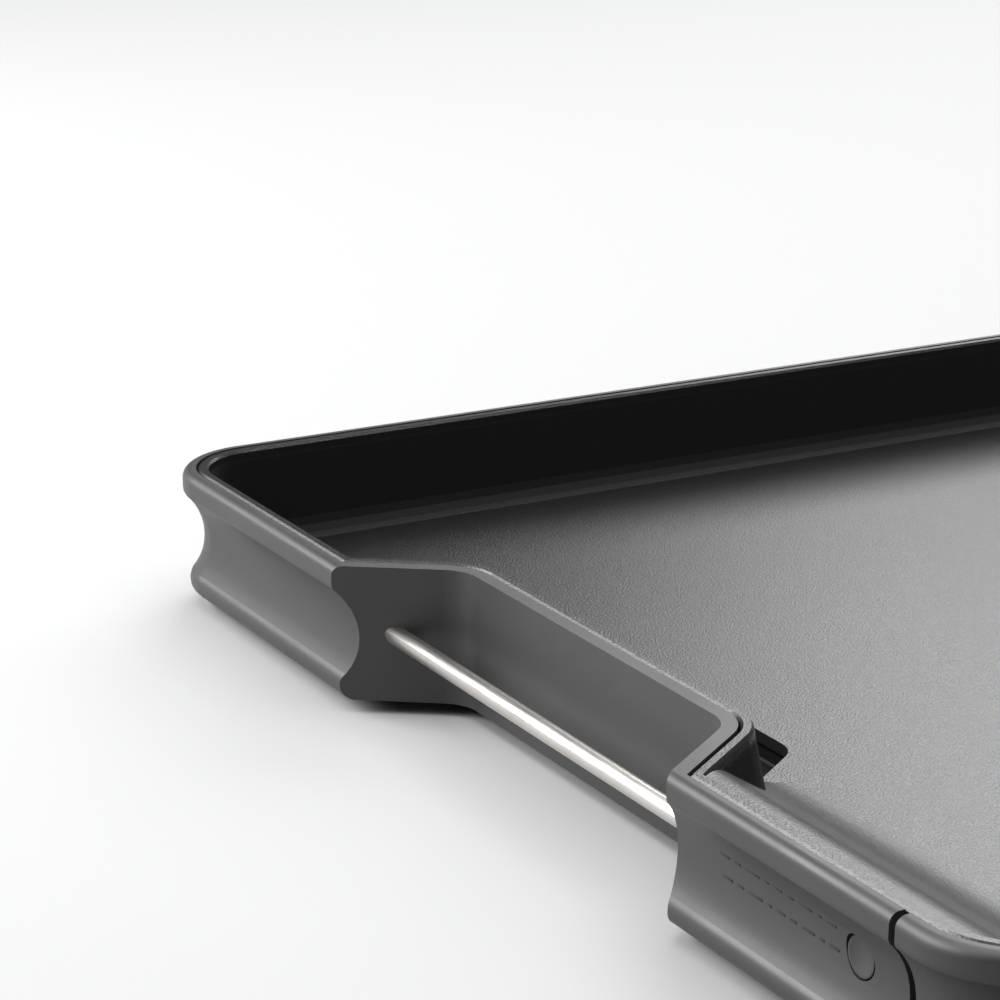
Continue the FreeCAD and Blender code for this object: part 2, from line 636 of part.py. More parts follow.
def reflector_spacers():
    x0, x1, y0, y1 = reflector_edges()
    places = [(x, y) for x in (x0 + 14, (x0 + x1) / 2, x1 - 14) for y in (y0 + 14, y1 - 14)]
    return group(post(x, y, Z_PAN_TOP, Z_REFLECTOR, 4.0) for x, y in places)


def thermal_cutout():
    z0 = Z_REFLECTOR + REFLECTOR_THICKNESS
    return post(CONTROL_X, ELEMENT_FRONT + 40, z0, Z_UNDER - 0.4, 7.0)


def earth_strap():
    x0, _, y0, _ = reflector_edges()
    z = Z_REFLECTOR + REFLECTOR_THICKNESS
    return box(x0 + 30, x0 + 38, y0 + 4, y0 + 44, z, z + 0.4)


# ---------------------------------------------------------------- base
def pan_inset():
    return FRAME_WALL + FIT_GAP


def foot_places():
    x, y = HALF_X - FOOT_INSET_X, HALF_Y - FOOT_INSET_Y
    return {"front_left": (-x, -y), "front_right": (x, -y),
            "rear_left": (-x, y), "rear_right": (x, y)}


def base_pan():
    body = prism(plan_corners(), pan_inset(), Z_PAN, Z_PAN_TOP)
    holes = [post(x, y, Z_PAN - 1, Z_PAN_TOP + 1, SCREW_RADIUS + 0.25)
             for x, y, _, _ in boss_places()]
    holes += [post(x, y, Z_PAN - 1, Z_PAN_TOP + 1, FOOT_STEM + 0.1)
              for x, y in foot_places().values()]
    return body.cut(holes)


def base_screws():
    screws = []
    for x, y, _, _ in boss_places():
        screws.append(post(x, y, Z_PAN - SCREW_HEAD_HEIGHT, Z_PAN, SCREW_HEAD).fuse(
            post(x, y, Z_PAN, Z_BOSS_TOP - 1.2, SCREW_RADIUS)))
    return group(screws)


def foot(x, y):
    """Soft foot pushed through the base pan."""
    pad = post(x, y, 0.0, Z_PAN, FOOT_RADIUS)
    rim = [e for e in pad.Edges if e.CenterOfMass.z < 0.01]
    pad = pad.makeChamfer(0.5, rim)
    stem = post(x, y, Z_PAN, Z_PAN_TOP, FOOT_STEM)
    head = post(x, y, Z_PAN_TOP, Z_PAN_TOP + 1.4, FOOT_STEM + 1.2)
    return joined([pad, stem, head])


# ---------------------------------------------------------------- drawer
def seam_y():
    return -HALF_Y + SEAM_Y


def button_y():
    return seam_y() + BUTTON_FROM_SEAM


def drawer_front(ring):
    """The corner of the frame, which pulls out with the drip tray."""
    piece = ring.common(drawer_zone(-SEAM))
    lower = prism(plan_corners(), LAND_WIDTH, Z_LEDGE - 0.5, Z_LEDGE + 0.1)
    y0, _ = drawer_ends()
    holes = [rod_y(x, z, y0 - DRAWER_SCREW_BITE, y0 + 1, DRAWER_SCREW_RADIUS + ROD_FIT)
             for x, z in drawer_screw_places()]
    return piece.cut(lower).cut(holes)


def carrier_edges():
    return SLOT_X - CARRIER_WIDTH / 2, SLOT_X + CARRIER_WIDTH / 2


def drawer_ends():
    return -HALF_Y + FRAME_WALL, SLOT_LENGTH / 2 + DRAWER_BACK


def drawer_carrier():
    """Shallow channel behind the drawer front; the drip tray lies in it."""
    x0, x1 = carrier_edges()
    y0, y1 = drawer_ends()
    z0 = Z_PAN_TOP + RUN_GAP
    floor = box(x0, x1, y0, y1, z0, z0 + CARRIER_FLOOR)
    t, top = CARRIER_WALL, z0 + CARRIER_FLOOR + CARRIER_SIDE
    walls = [box(x0, x0 + t, y0, y1, z0, top), box(x1 - t, x1, y0, y1, z0, top),
             box(x0, x1, y1 - t, y1, z0, top), box(x0, x1, y0, y0 + CARRIER_FLANGE, z0, top)]
    holes = [rod_y(x, z, y0 - 1, y0 + CARRIER_FLANGE + 1, DRAWER_SCREW_RADIUS + ROD_FIT)
             for x, z in drawer_screw_places()]
    return floor.fuse(walls).cut(holes)


def tray_edges():
    half = SLOT_WIDTH / 2 + TRAY_MARGIN
    return SLOT_X - half, SLOT_X + half


def drip_tray():
    """Lift-out sheet tray under the drain slot."""
    x0, x1 = tray_edges()
    y0, y1 = drawer_ends()
    y0, y1 = y0 + CARRIER_FLANGE + 1.0, y1 - CARRIER_WALL - 0.6
    z0 = Z_PAN_TOP + RUN_GAP + CARRIER_FLOOR + 0.1
    z1 = Z_UNDER - TRAY_TOP_GAP
    t = TRAY_SHEET
    outer = rounded_box(x0, x1, y0, y1, z0, z1, 4.0)
    inner = rounded_box(x0 + t, x1 - t, y0 + t, y1 - t, z0 + t, z1 + 1, 4.0 - t)
    return outer.cut(inner)


def drawer_screw_places():
    z = Z_PAN_TOP + RUN_GAP + CARRIER_FLOOR + CARRIER_SIDE / 2
    x0, x1 = carrier_edges()
    return [(x0 + 3.4, z), (x1 - 3.4, z)]


def drawer_screws():
    """Two screws through the carrier's front flange into the drawer front."""
    y = drawer_ends()[0]
    screws = []
    for x, z in drawer_screw_places():
        shank = rod_y(x, z, y - DRAWER_SCREW_BITE + 0.4, y + CARRIER_FLANGE, DRAWER_SCREW_RADIUS)
        head = rod_y(x, z, y + CARRIER_FLANGE, y + CARRIER_FLANGE + 0.6, 1.4)
        screws.append(shank.fuse(head))
    return group(screws)


def guide_rail(side):
    """Folded rail on the base pan that the carrier runs along."""
    x0, x1 = carrier_edges()
    y0, y1 = seam_y() + 4.0, drawer_ends()[1] - 4.0
    z0, z1 = Z_PAN_TOP, Z_PAN_TOP + RUN_GAP + CARRIER_FLOOR + CARRIER_SIDE + 0.9
    if side < 0:
        return box(x0 - RUN_GAP - RAIL_THICKNESS, x0 - RUN_GAP, y0, y1, z0, z1)
    return box(x1 + RUN_GAP, x1 + RUN_GAP + RAIL_THICKNESS, y0, y1, z0, z1)


def latch_tongue():
    """Tongue on the drawer front that reaches behind the frame, below the button."""
    x0 = -HALF_X + FRAME_WALL
    x1 = x0 + FIT_GAP + TONGUE_THICKNESS
    y0, y1 = seam_y() - SEAM - 5.0, button_y() - 3.0
    z0 = Z_UNDER - 2.4
    root = box(x0, x1, y0, seam_y() - SEAM - 0.5, z0, z0 + 4.0)
    return root.fuse(box(x0 + FIT_GAP, x1, y0, y1, z0, z0 + 4.0))


# ---------------------------------------------------------------- button
def release_button():
    """Plain disc that sits in a bore through the scoop."""
    x = -HALF_X + BUTTON_SETBACK
    disc = rod_x(button_y(), Z_BUTTON, x, x + BUTTON_THICKNESS, BUTTON_RADIUS)
    face = [e for e in disc.Edges if abs(e.CenterOfMass.x - x) < 0.01 and e.Length > 9]
    return disc.makeChamfer(0.3, face)


def button_spring():
    """Leaf on the inside of the frame with a finger into the bore, as it is when pressed."""
    wall = -HALF_X + FRAME_WALL
    tip = -HALF_X + BUTTON_SETBACK + BUTTON_THICKNESS + BUTTON_TRAVEL + 0.15
    y, z = button_y(), Z_BUTTON - BUTTON_RADIUS
    leaf = box(wall, wall + SPRING_SHEET, y - 1.5, y + 1.5, Z_UNDER - 2.0, z + 1.6)
    finger = box(tip, wall + SPRING_SHEET, y - 1.5, y + 1.5, z + 1.0, z + 1.6)
    return leaf.fuse(finger)


# ---------------------------------------------------------------- plug-in control
def control_faces():
    back = NOTCH_Y - GUARD_LENGTH - CONTROL_SOCKET_GAP
    return back - CONTROL_DEPTH, back


def control_sides():
    return CONTROL_X - CONTROL_LENGTH / 2, CONTROL_X + CONTROL_LENGTH / 2


def socket_guard():
    """Open collar round the terminal pins on the recess wall."""
    wide, z0, z1 = TERMINAL_SPREAD + 8.0, Z_ELEMENT - 3.9, Z_ELEMENT + 4.6
    y0, y1 = NOTCH_Y - GUARD_LENGTH, NOTCH_Y
    g = GUARD_WALL
    outer = box(CONTROL_X - wide - g, CONTROL_X + wide + g, y0, y1, z0, z1 + g)
    return outer.cut(box(CONTROL_X - wide, CONTROL_X + wide, y0 - 1, y1 + 1, z0 - 1, z1))


def contact_sleeve(dx):
    _, back = control_faces()
    x, y0 = CONTROL_X + dx, back - 12.0
    inner = TERMINAL_RADIUS + 0.35
    tube = rod_y(x, Z_ELEMENT, y0, back - CONTROL_WALL - 0.1, inner + SLEEVE_WALL)
    return tube.cut(rod_y(x, Z_ELEMENT, y0 + 1.5, back, inner))


def contact_sleeves():
    return group(contact_sleeve(dx) for dx in (-TERMINAL_SPREAD, TERMINAL_SPREAD))


def control_base():
    x0, x1 = control_sides()
    y0, y1 = control_faces()
    w = CONTROL_WALL
    outer = rounded_box(x0, x1, y0, y1, CONTROL_GROUND, CONTROL_SPLIT, 7.0)
    low = [e for e in outer.Edges if e.BoundBox.ZMax < CONTROL_GROUND + 0.01]
    outer = outer.makeChamfer(0.8, low)
    inner = rounded_box(x0 + w, x1 - w, y0 + w, y1 - w, Z_ELEMENT - 3.1, CONTROL_SPLIT + 1, 5.0)
    holes = [rod_y(CONTROL_X + dx, Z_ELEMENT, y1 - 3, y1 + 1, TERMINAL_RADIUS + 0.5)
             for dx in (-TERMINAL_SPREAD, TERMINAL_SPREAD)]
    holes.append(rod_y(CONTROL_X, Z_ELEMENT, y1 - 3, y1 + 1, PROBE_RADIUS + 0.05))
    holes.append(rod_y(CONTROL_X, gland_z(), y0 - 1, y0 + 3, GLAND_RADIUS - 1.9))
    return outer.cut(inner).cut(holes)


def gland_z():
    return CONTROL_GROUND + (CONTROL_SPLIT - CONTROL_GROUND) * 0.55


def control_cover():
    x0, x1 = control_sides()
    y0, y1 = control_faces()
    w = CONTROL_WALL
    outer = rounded_box(x0, x1, y0, y1, CONTROL_SPLIT, CONTROL_TOP, 7.0)
    high = [e for e in outer.Edges if e.BoundBox.ZMin > CONTROL_TOP - 0.01]
    outer = outer.makeChamfer(1.4, high)
    inner = rounded_box(x0 + w, x1 - w, y0 + w, y1 - w, CONTROL_SPLIT - 1, CONTROL_TOP - w, 5.0)
    dial_x, dial_y = dial_centre()
    holes = [post(dial_x, dial_y, CONTROL_TOP - 4, CONTROL_TOP + 1, SHAFT_RADIUS + 0.3),
             post(lens_x(), dial_y, CONTROL_TOP - 4, CONTROL_TOP + 1, LENS_RADIUS + 0.05)]
    return outer.cut(inner).cut(holes)


def dial_centre():
    y0, y1 = control_faces()
    return CONTROL_X, (y0 + y1) / 2


def lens_x():
    return CONTROL_X + DIAL_RADIUS + 10.0


def temperature_dial():
    """Fluted knob with a raised grip bar."""
    x, y = dial_centre()
    z0 = CONTROL_TOP + DIAL_GAP
    skirt = Part.makeCone(DIAL_RADIUS, DIAL_RADIUS - 1.2, 3.4, Vector(x, y, z0), Vector(0, 0, 1))
    grip = box(x - 3.2, x + 3.2, y - DIAL_RADIUS + 3, y + DIAL_RADIUS - 3, z0 + 3.4,
               z0 + DIAL_HEIGHT)
    upright = [e for e in grip.Edges if abs(e.tangentAt(e.FirstParameter).z) > 0.9]
    grip = grip.makeFillet(2.6, upright)
    flutes = []
    for k in range(18):
        a = math.radians(20 * k)
        flutes.append(post(x + (DIAL_RADIUS + 0.6) * math.cos(a),
                           y + (DIAL_RADIUS + 0.6) * math.sin(a), z0 - 1, z0 + 3.5, 1.2))
    bore = post(x, y, z0 - 1, z0 + 3.0, SHAFT_RADIUS + 0.05)
    return skirt.cut(flutes).fuse(grip).cut(bore)


def dial_shaft():
    x, y = dial_centre()
    return post(x, y, CONTROL_SPLIT - 1.2, CONTROL_TOP + DIAL_GAP + 2.8, SHAFT_RADIUS)


def thermostat_switch():
    """Switch block under the dial with a blind bore for the dial's shaft."""
    x, y = dial_centre()
    body = box(x - 15, x + 15, y - 8, y + 8, Z_ELEMENT + 3.2, CONTROL_SPLIT + 1.5)
    return body.cut(post(x, y, CONTROL_SPLIT - 1.6, CONTROL_SPLIT + 3, SHAFT_RADIUS + 0.3))


def probe_rod():
    y0, y1 = control_faces()
    rod = rod_y(CONTROL_X, Z_ELEMENT, y1 - 26.0, y1 + PROBE_REACH, PROBE_RADIUS)
    tip = [e for e in rod.Edges if abs(e.CenterOfMass.y - y1 - PROBE_REACH) < 0.01]
    return rod.makeChamfer(0.8, tip)


def pilot_lens():
    _, y = dial_centre()
    x = lens_x()
    stem = post(x, y, CONTROL_TOP - 2.6, CONTROL_TOP, LENS_RADIUS)
    dome = Part.makeSphere(LENS_RADIUS, Vector(x, y, CONTROL_TOP), Vector(0, 0, 1), 0, 90, 360)
    return stem.fuse(dome)


def cord_gland():
    y0, _ = control_faces()
    z = gland_z()
    ring = rod_y(CONTROL_X, z, y0 - 3.0, y0, GLAND_RADIUS)
    neck = rod_y(CONTROL_X, z, y0, y0 + 3.0, GLAND_RADIUS - 2.0)
    lip = [e for e in ring.Edges if abs(e.CenterOfMass.y - y0 + 3.0) < 0.01 and e.Length > 10]
    ring = ring.makeChamfer(0.8, lip)
    return ring.fuse(neck).cut(rod_y(CONTROL_X, z, y0 - 4, y0 + 4, GLAND_BORE))


def control_screws():
    x0, x1 = control_sides()
    y0, y1 = control_faces()
    screws = []
    for x in (x0 + 8, x1 - 8):
        for y in (y0 + 8, y1 - 8):
            screws.append(post(x, y, Z_ELEMENT - 3.1, CONTROL_TOP - CONTROL_WALL, 1.6))
    return group(screws)


# ---------------------------------------------------------------- export
def export(name, shape):
    shape.exportStep(os.path.join("parts", name + ".step"))


def main():
    os.makedirs("parts", exist_ok=True)
    ring = frame_ring()
    export("main_frame", main_frame(ring))
    export("drawer_front", drawer_front(ring))
    export("griddle_plate", griddle_plate())
    export("handle_rod_left", handle_rod(-1))
    export("handle_rod_right", handle_rod(1))
    export("rod_pins", rod_pins())
    export("heating_element", heating_element())
    export("terminal_pins", terminal_pins())
    export("terminal_insulator", terminal_insulator())
    export("element_clips", element_clips())
    export("reflector_pan", reflector_pan())
    export("reflector_spacers", reflector_spacers())
    export("thermal_cutout", thermal_cutout())
    export("earth_strap", earth_strap())
    export("base_pan", base_pan())
    export("base_screws", base_screws())
    for place, (x, y) in foot_places().items():
        export("foot_" + place, foot(x, y))
    export("drawer_carrier", drawer_carrier())
    export("drip_tray", drip_tray())
    export("drawer_screws", drawer_screws())
    export("guide_rail_outer", guide_rail(-1))
    export("guide_rail_inner", guide_rail(1))
    export("latch_tongue", latch_tongue())
    export("release_button", release_button())
    export("button_spring", button_spring())
    export("socket_guard", socket_guard())
    export("contact_sleeves", contact_sleeves())
    export("control_base", control_base())
    export("control_cover", control_cover())
    export("temperature_dial", temperature_dial())
    export("dial_shaft", dial_shaft())
    export("thermostat_switch", thermostat_switch())
    export("probe_rod", probe_rod())
    export("pilot_lens", pilot_lens())
    export("cord_gland", cord_gland())
    export("control_screws", control_screws())


if __name__ == "__main__":
    main()
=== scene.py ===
"""Looks of the electric griddle: finishes, detailed pieces, studio and camera.

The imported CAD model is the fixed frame.  Pieces that only need a finish keep their
CAD shape; handles, dial, feet, screws, tray and trim are modelled here in its place.
"""
import json
import logging
import math
from collections.abc import Callable, Sequence
from dataclasses import dataclass
from enum import Enum

import bmesh
import bpy
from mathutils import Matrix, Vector


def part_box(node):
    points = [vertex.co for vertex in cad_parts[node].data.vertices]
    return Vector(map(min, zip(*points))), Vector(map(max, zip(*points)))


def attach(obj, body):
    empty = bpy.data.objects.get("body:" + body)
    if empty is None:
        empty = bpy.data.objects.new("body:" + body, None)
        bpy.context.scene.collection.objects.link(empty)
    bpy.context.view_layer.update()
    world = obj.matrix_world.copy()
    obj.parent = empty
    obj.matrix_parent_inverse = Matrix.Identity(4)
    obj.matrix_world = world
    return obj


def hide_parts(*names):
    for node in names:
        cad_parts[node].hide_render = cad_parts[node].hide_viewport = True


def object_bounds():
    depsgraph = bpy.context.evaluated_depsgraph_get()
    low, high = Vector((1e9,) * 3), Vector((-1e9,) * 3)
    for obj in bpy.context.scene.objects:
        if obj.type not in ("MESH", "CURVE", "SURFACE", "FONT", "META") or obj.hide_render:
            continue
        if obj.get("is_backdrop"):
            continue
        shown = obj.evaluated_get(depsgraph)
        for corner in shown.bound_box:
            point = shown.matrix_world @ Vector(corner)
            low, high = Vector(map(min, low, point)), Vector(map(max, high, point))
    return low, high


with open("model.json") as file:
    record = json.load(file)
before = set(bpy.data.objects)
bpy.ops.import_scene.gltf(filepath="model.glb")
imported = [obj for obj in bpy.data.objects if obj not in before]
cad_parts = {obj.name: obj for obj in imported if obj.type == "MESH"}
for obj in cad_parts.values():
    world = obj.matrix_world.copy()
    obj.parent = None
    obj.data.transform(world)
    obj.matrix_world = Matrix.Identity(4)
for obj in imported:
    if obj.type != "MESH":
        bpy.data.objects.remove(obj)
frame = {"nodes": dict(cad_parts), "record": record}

LOG = logging.getLogger("griddle")
MM = 0.001               # one millimetre, in metres
NEAR = 0.01 * MM         # two places this close count as one
ALONG = 0.99             # share of a unit vector from which it lies along an axis
ACROSS = 0.1             # share of a unit vector below which it lies across an axis
SMOOTH_BELOW = math.radians(35.0)    # edges up to this angle are shaded smooth


# ---------------------------------------------------------------- shader expressions
class Link:
    """One output of a shader node, or part of an expression on such outputs."""

    def __init__(self, graph: "Graph", socket: bpy.types.NodeSocket) -> None:
        """Keep the socket and the graph that new Math nodes go into."""
        self.graph = graph
        self.socket = socket

    def _math(self, operation: str, first: "Link | float", second: "Link | float") -> "Link":
        """Result of one Math node."""
        return self.graph.node("ShaderNodeMath", {"operation": operation}, {0: first, 1: second})

    def __add__(self, other: "Link | float") -> "Link":
        """Sum."""
        return self._math("ADD", self, other)

    __radd__ = __add__

    def __sub__(self, other: "Link | float") -> "Link":
        """Difference."""
        return self._math("SUBTRACT", self, other)

    def __rsub__(self, other: float) -> "Link":
        """Number minus this."""
        return self._math("SUBTRACT", other, self)

    def __mul__(self, other: "Link | float") -> "Link":
        """Product."""
        return self._math("MULTIPLY", self, other)

    __rmul__ = __mul__

    def ramp(self, low: float, high: float, to_low: float = 0.0, to_high: float = 1.0) -> "Link":
        """Smooth step of this value.

        Args:
            low: value where the step starts.
            high: value where the step ends.
            to_low: result before the step.
            to_high: result after it.

        Returns:
            The stepped value.
        """
        settings = {"interpolation_type": "SMOOTHSTEP"}
        sockets = {"Value": self, "From Min": low, "From Max": high,
                   "To Min": to_low, "To Max": to_high}
        return self.graph.node("ShaderNodeMapRange", settings, sockets)


class Graph:
    """Node tree of one material."""

    def __init__(self, name: str) -> None:
        """Start a material that has only its output and a Principled shader.

        Args:
            name: the material's name.
        """
        self.material = bpy.data.materials.new(name)
        self.material.use_nodes = True
        self.tree = self.material.node_tree
        self.shader = next(n for n in self.tree.nodes if n.type == "BSDF_PRINCIPLED")

    def _feed(self, socket: bpy.types.NodeSocket, value: "Link | float | tuple") -> None:
        """Link an input socket or set its value.

        Args:
            socket: the input.
            value: a link to feed it, or a number or colour to set.
        """
        if isinstance(value, Link):
            self.tree.links.new(value.socket, socket)
        else:
            socket.default_value = value

    def node(self, kind: str, settings: dict | None = None, sockets: dict | None = None,
             output: int | str = 0) -> Link:
        """Add one node.

        Args:
            kind: the node's type.
            settings: attributes, set before the sockets; "stops" fills a colour ramp.
            sockets: values or links by socket name or number.
            output: name or number of the output to use.

        Returns:
            That output.
        """
        made = self.tree.nodes.new(kind)
        for key, value in (settings or {}).items():
            if key == "stops":
                self._fill_ramp(made, value)
            else:
                setattr(made, key, value)
        for key, value in (sockets or {}).items():
            self._feed(made.inputs[key], value)
        return Link(self, made.outputs[output])

    @staticmethod
    def _fill_ramp(made: bpy.types.Node, stops: list[tuple[float, tuple]]) -> None:
        """Give a colour ramp its stops.

        Args:
            made: the ramp's node.
            stops: place and colour of each stop, in order of place.
        """
        elements = made.color_ramp.elements
        for place, _ in stops[2:]:
            elements.new(place)
        for element, (place, colour) in zip(elements, stops):
            element.position = place
            element.color = colour

    def place(self) -> Link:
        """Position on the piece, in metres."""
        return self.node("ShaderNodeTexCoord", output="Object")

    def part_of(self, vector: Link, axis: str) -> Link:
        """X, Y or Z part of a vector."""
        return self.node("ShaderNodeSeparateXYZ", sockets={0: vector}, output=axis)

    def scaled(self, scale: tuple[float, float, float]) -> Link:
        """Position stretched along each axis, for brushed and drawn patterns."""
        return self.node("ShaderNodeMapping", sockets={"Vector": self.place(), "Scale": scale})

    def noise(self, size: float, detail: float = 2.0, at: Link | None = None) -> Link:
        """Soft noise from 0 to 1.

        Args:
            size: width of one blob, in metres.
            detail: number of finer octaves.
            at: position to read it at, or None for the place on the piece.

        Returns:
            The noise.
        """
        sockets = {"Vector": at or self.place(), "Scale": 1.0 / size, "Detail": detail}
        return self.node("ShaderNodeTexNoise", sockets=sockets)

    def cells(self, size: float) -> Link:
        """Distance to the nearest point of a fine grid of cells of that width, in metres."""
        sockets = {"Vector": self.place(), "Scale": 1.0 / size}
        return self.node("ShaderNodeTexVoronoi", sockets=sockets)

    def mix(self, share: Link | float, low: tuple | Link, high: tuple | Link) -> Link:
        """Colour between two colours."""
        return self.node("ShaderNodeMix", {"data_type": "RGBA"},
                         {0: share, 6: low, 7: high}, output=2)

    def bump(self, height: Link, distance: float) -> Link:
        """Normal of a surface with that height map, of which 1 stands for a distance in metres."""
        sockets = {"Height": height, "Distance": distance, "Strength": 1.0}
        return self.node("ShaderNodeBump", sockets=sockets)

    def shade(self, **sockets: "Link | float | tuple") -> None:
        """Feed the Principled shader; underscores in a name stand for spaces."""
        for name, value in sockets.items():
            self._feed(self.shader.inputs[name.replace("_", " ")], value)


def tint(colour: tuple[float, float, float], factor: float) -> tuple[float, float, float, float]:
    """Colour made lighter or darker by a factor."""
    return (colour[0] * factor, colour[1] * factor, colour[2] * factor, 1.0)


# ---------------------------------------------------------------- finishes
@dataclass(frozen=True)
class Finish:
    """Moulded, cast or painted surface: fine grain, faint cloudiness, soft gloss.

    Sizes are in metres.
    """

    name: str
    colour: tuple[float, float, float]
    roughness: float = 0.45
    metallic: float = 0.0
    ior: float = 1.5
    grain: float = 0.0004
    grain_depth: float = 0.000012
    cloud: float = 0.03
    cloud_depth: float = 0.08
    gloss_change: float = 0.05

    def material(self) -> bpy.types.Material:
        """Build the node material of this finish.

        Returns:
            The new material.
        """
        graph = Graph(self.name)
        self.dress(graph)
        return graph.material

    def colour_map(self, graph: Graph) -> Link:
        """Base colour with its faint cloudiness.

        Args:
            graph: nodes of the material.

        Returns:
            The colour.
        """
        share = graph.noise(self.cloud, 3.0).ramp(0.3, 0.7)
        return graph.mix(share, tint(self.colour, 1.0 - self.cloud_depth),
                         tint(self.colour, 1.0 + self.cloud_depth))

    def height_map(self, graph: Graph) -> Link:
        """Fine grain, from two sizes of noise."""
        return graph.noise(self.grain, 2.0) * 0.7 + graph.noise(self.grain * 2.7, 1.0) * 0.3

    def roughness_map(self, graph: Graph) -> Link:
        """Gloss that changes a little over the surface.

        Args:
            graph: nodes of the material.

        Returns:
            The roughness.
        """
        low, high = self.roughness - self.gloss_change, self.roughness + self.gloss_change
        return graph.noise(self.cloud * 0.6, 4.0).ramp(0.25, 0.75, low, high)

    def dress(self, graph: Graph) -> None:
        """Feed the shader of this finish.

        Args:
            graph: nodes of the material.
        """
        graph.shade(Base_Color=self.colour_map(graph), Roughness=self.roughness_map(graph),
                    Metallic=self.metallic, IOR=self.ior,
                    Normal=graph.bump(self.height_map(graph), self.grain_depth))


@dataclass(frozen=True)
class NonstickFinish(Finish):
    """Non-stick coating: fine pebbled grain with small mineral specks, rougher on steep walls,
    which also carry painted shade.

    A pair of numbers is where one thing starts to turn into the other and where it has.
    """

    pebble: float = 0.00060
    speck: float = 0.0022
    wall_roughness: float = 0.80
    # metallic share on the walls, which darkens them as painted shade
    wall_painted_shade: float = 0.45
    wall_upward: tuple[float, float] = (0.45, 0.80)      # Z of the normal, wall to ramp
    curve_upward: tuple[float, float] = (0.90, 0.985)    # Z of the normal, curve to floor
    behind_ramp: tuple[float, float] = (-0.044, -0.020)  # Y, beside the ramp to behind it
    rim_height: tuple[float, float] = (0.0360, 0.0380)   # Z, wall to rim

    def steep(self, graph: Graph) -> Link:
        """Share of wall, made rough and painted with shade: 1 on walls and the curves under them, 0
        on floor, rim and ramp.

        Args:
            graph: nodes of the material.

        Returns:
            The share.
        """
        upward = graph.part_of(graph.node("ShaderNodeNewGeometry", output="Normal"), "Z")
        behind = graph.part_of(graph.place(), "Y").ramp(*self.behind_ramp)
        below_rim = graph.part_of(graph.place(), "Z").ramp(*self.rim_height, 1.0, 0.0)
        wall = upward.ramp(*self.wall_upward, 1.0, 0.0)
        curve = upward.ramp(*self.curve_upward, 1.0, 0.0)
        return (wall * (1.0 - behind) + curve * behind) * below_rim

    def roughness_map(self, graph: Graph) -> Link:
        """Smooth on the floor, dull on the walls.

        Args:
            graph: nodes of the material.

        Returns:
            The roughness.
        """
        smooth = super().roughness_map(graph)
        steep = self.steep(graph)
        return smooth * (1.0 - steep) + steep * self.wall_roughness

    def dress(self, graph: Graph) -> None:
        """The usual shader, with painted shade on the walls: metallic on the near-black coating
        takes away their shine.
        """
        super().dress(graph)
        # Painted shade: metallic on the near-black coating darkens the walls.
        graph.shade(Metallic=self.steep(graph) * self.wall_painted_shade)

    def height_map(self, graph: Graph) -> Link:
        """Pebbled grain with a finer tooth on it."""
        pebbles = graph.cells(self.pebble).ramp(0.1, 0.8)
        return pebbles * 0.6 + graph.noise(self.grain, 2.0) * 0.4

    def colour_map(self, graph: Graph) -> Link:
        """Cloudy dark base with sparse lighter specks.

        Args:
            graph: nodes of the material.

        Returns:
            The colour.
        """
        base = super().colour_map(graph)
        specks = graph.cells(self.speck).ramp(0.10, 0.16, 1.0, 0.0)
        sparse = graph.noise(self.speck * 4.0, 1.0).ramp(0.52, 0.6)
        return graph.mix(specks * sparse * 0.45, base, tint(self.colour, 3.2))


class Along(Enum):
    """Axis that a brushed or drawn finish follows, as the stretch of its pattern."""

    X = (0.02, 1.0, 1.0)
    Y = (1.0, 0.02, 1.0)


@dataclass(frozen=True)
class BrushedFinish(Finish):
    """Bare metal with fine lines along one axis."""

    metallic: float = 1.0
    along: Along = Along.Y
    line: float = 0.00022

    def lines(self, graph: Graph) -> Link:
        """Drawn lines, fine and finer.

        Args:
            graph: nodes of the material.

        Returns:
            Height of the lines, from 0 to 1.
        """
        stretched = graph.scaled(self.along.value)
        fine = graph.noise(self.line, 2.0, stretched)
        return fine * 0.6 + graph.noise(self.line * 4.0, 2.0, stretched) * 0.4

    def height_map(self, graph: Graph) -> Link:
        """The lines are the grain."""
        return self.lines(graph)

    def roughness_map(self, graph: Graph) -> Link:
        """Rougher and smoother lines."""
        low, high = self.roughness - self.gloss_change, self.roughness + self.gloss_change
        return self.lines(graph).ramp(0.3, 0.7, low, high)


@dataclass(frozen=True)
class SheathFinish(Finish):
    """Heater sheath or hot sheet metal with straw, brown and blue heat colours."""

    metallic: float = 1.0
    band: float = 0.035
    straw: tuple[float, float, float, float] = (0.30, 0.22, 0.13, 1.0)
    blue: tuple[float, float, float, float] = (0.16, 0.15, 0.19, 1.0)

    def colour_map(self, graph: Graph) -> Link:
        """Heat colours in soft bands.

        Args:
            graph: nodes of the material.

        Returns:
            The colour.
        """
        stops = [(0.30, tint(self.colour, 1.0)), (0.44, self.straw), (0.62, self.blue),
                 (0.80, tint(self.colour, 0.7))]
        return graph.node("ShaderNodeValToRGB", {"stops": stops}, {0: graph.noise(self.band, 3.0)})


@dataclass(frozen=True)
class GlassFinish(Finish):
    """Tinted clear plastic of a pilot lamp."""

    clearness: float = 0.55
    glow: float = 0.25

    def dress(self, graph: Graph) -> None:
        """Clear tinted body with a faint glow.

        Args:
            graph: nodes of the material.
        """
        super().dress(graph)
        share = graph.noise(self.cloud, 1.0).ramp(0.3, 0.7, 0.7, 1.0)
        glowing = graph.mix(share, tint(self.colour, 0.0), tint(self.colour, 1.0))
        graph.shade(Transmission_Weight=self.clearness, Emission_Color=glowing,
                    Emission_Strength=self.glow)


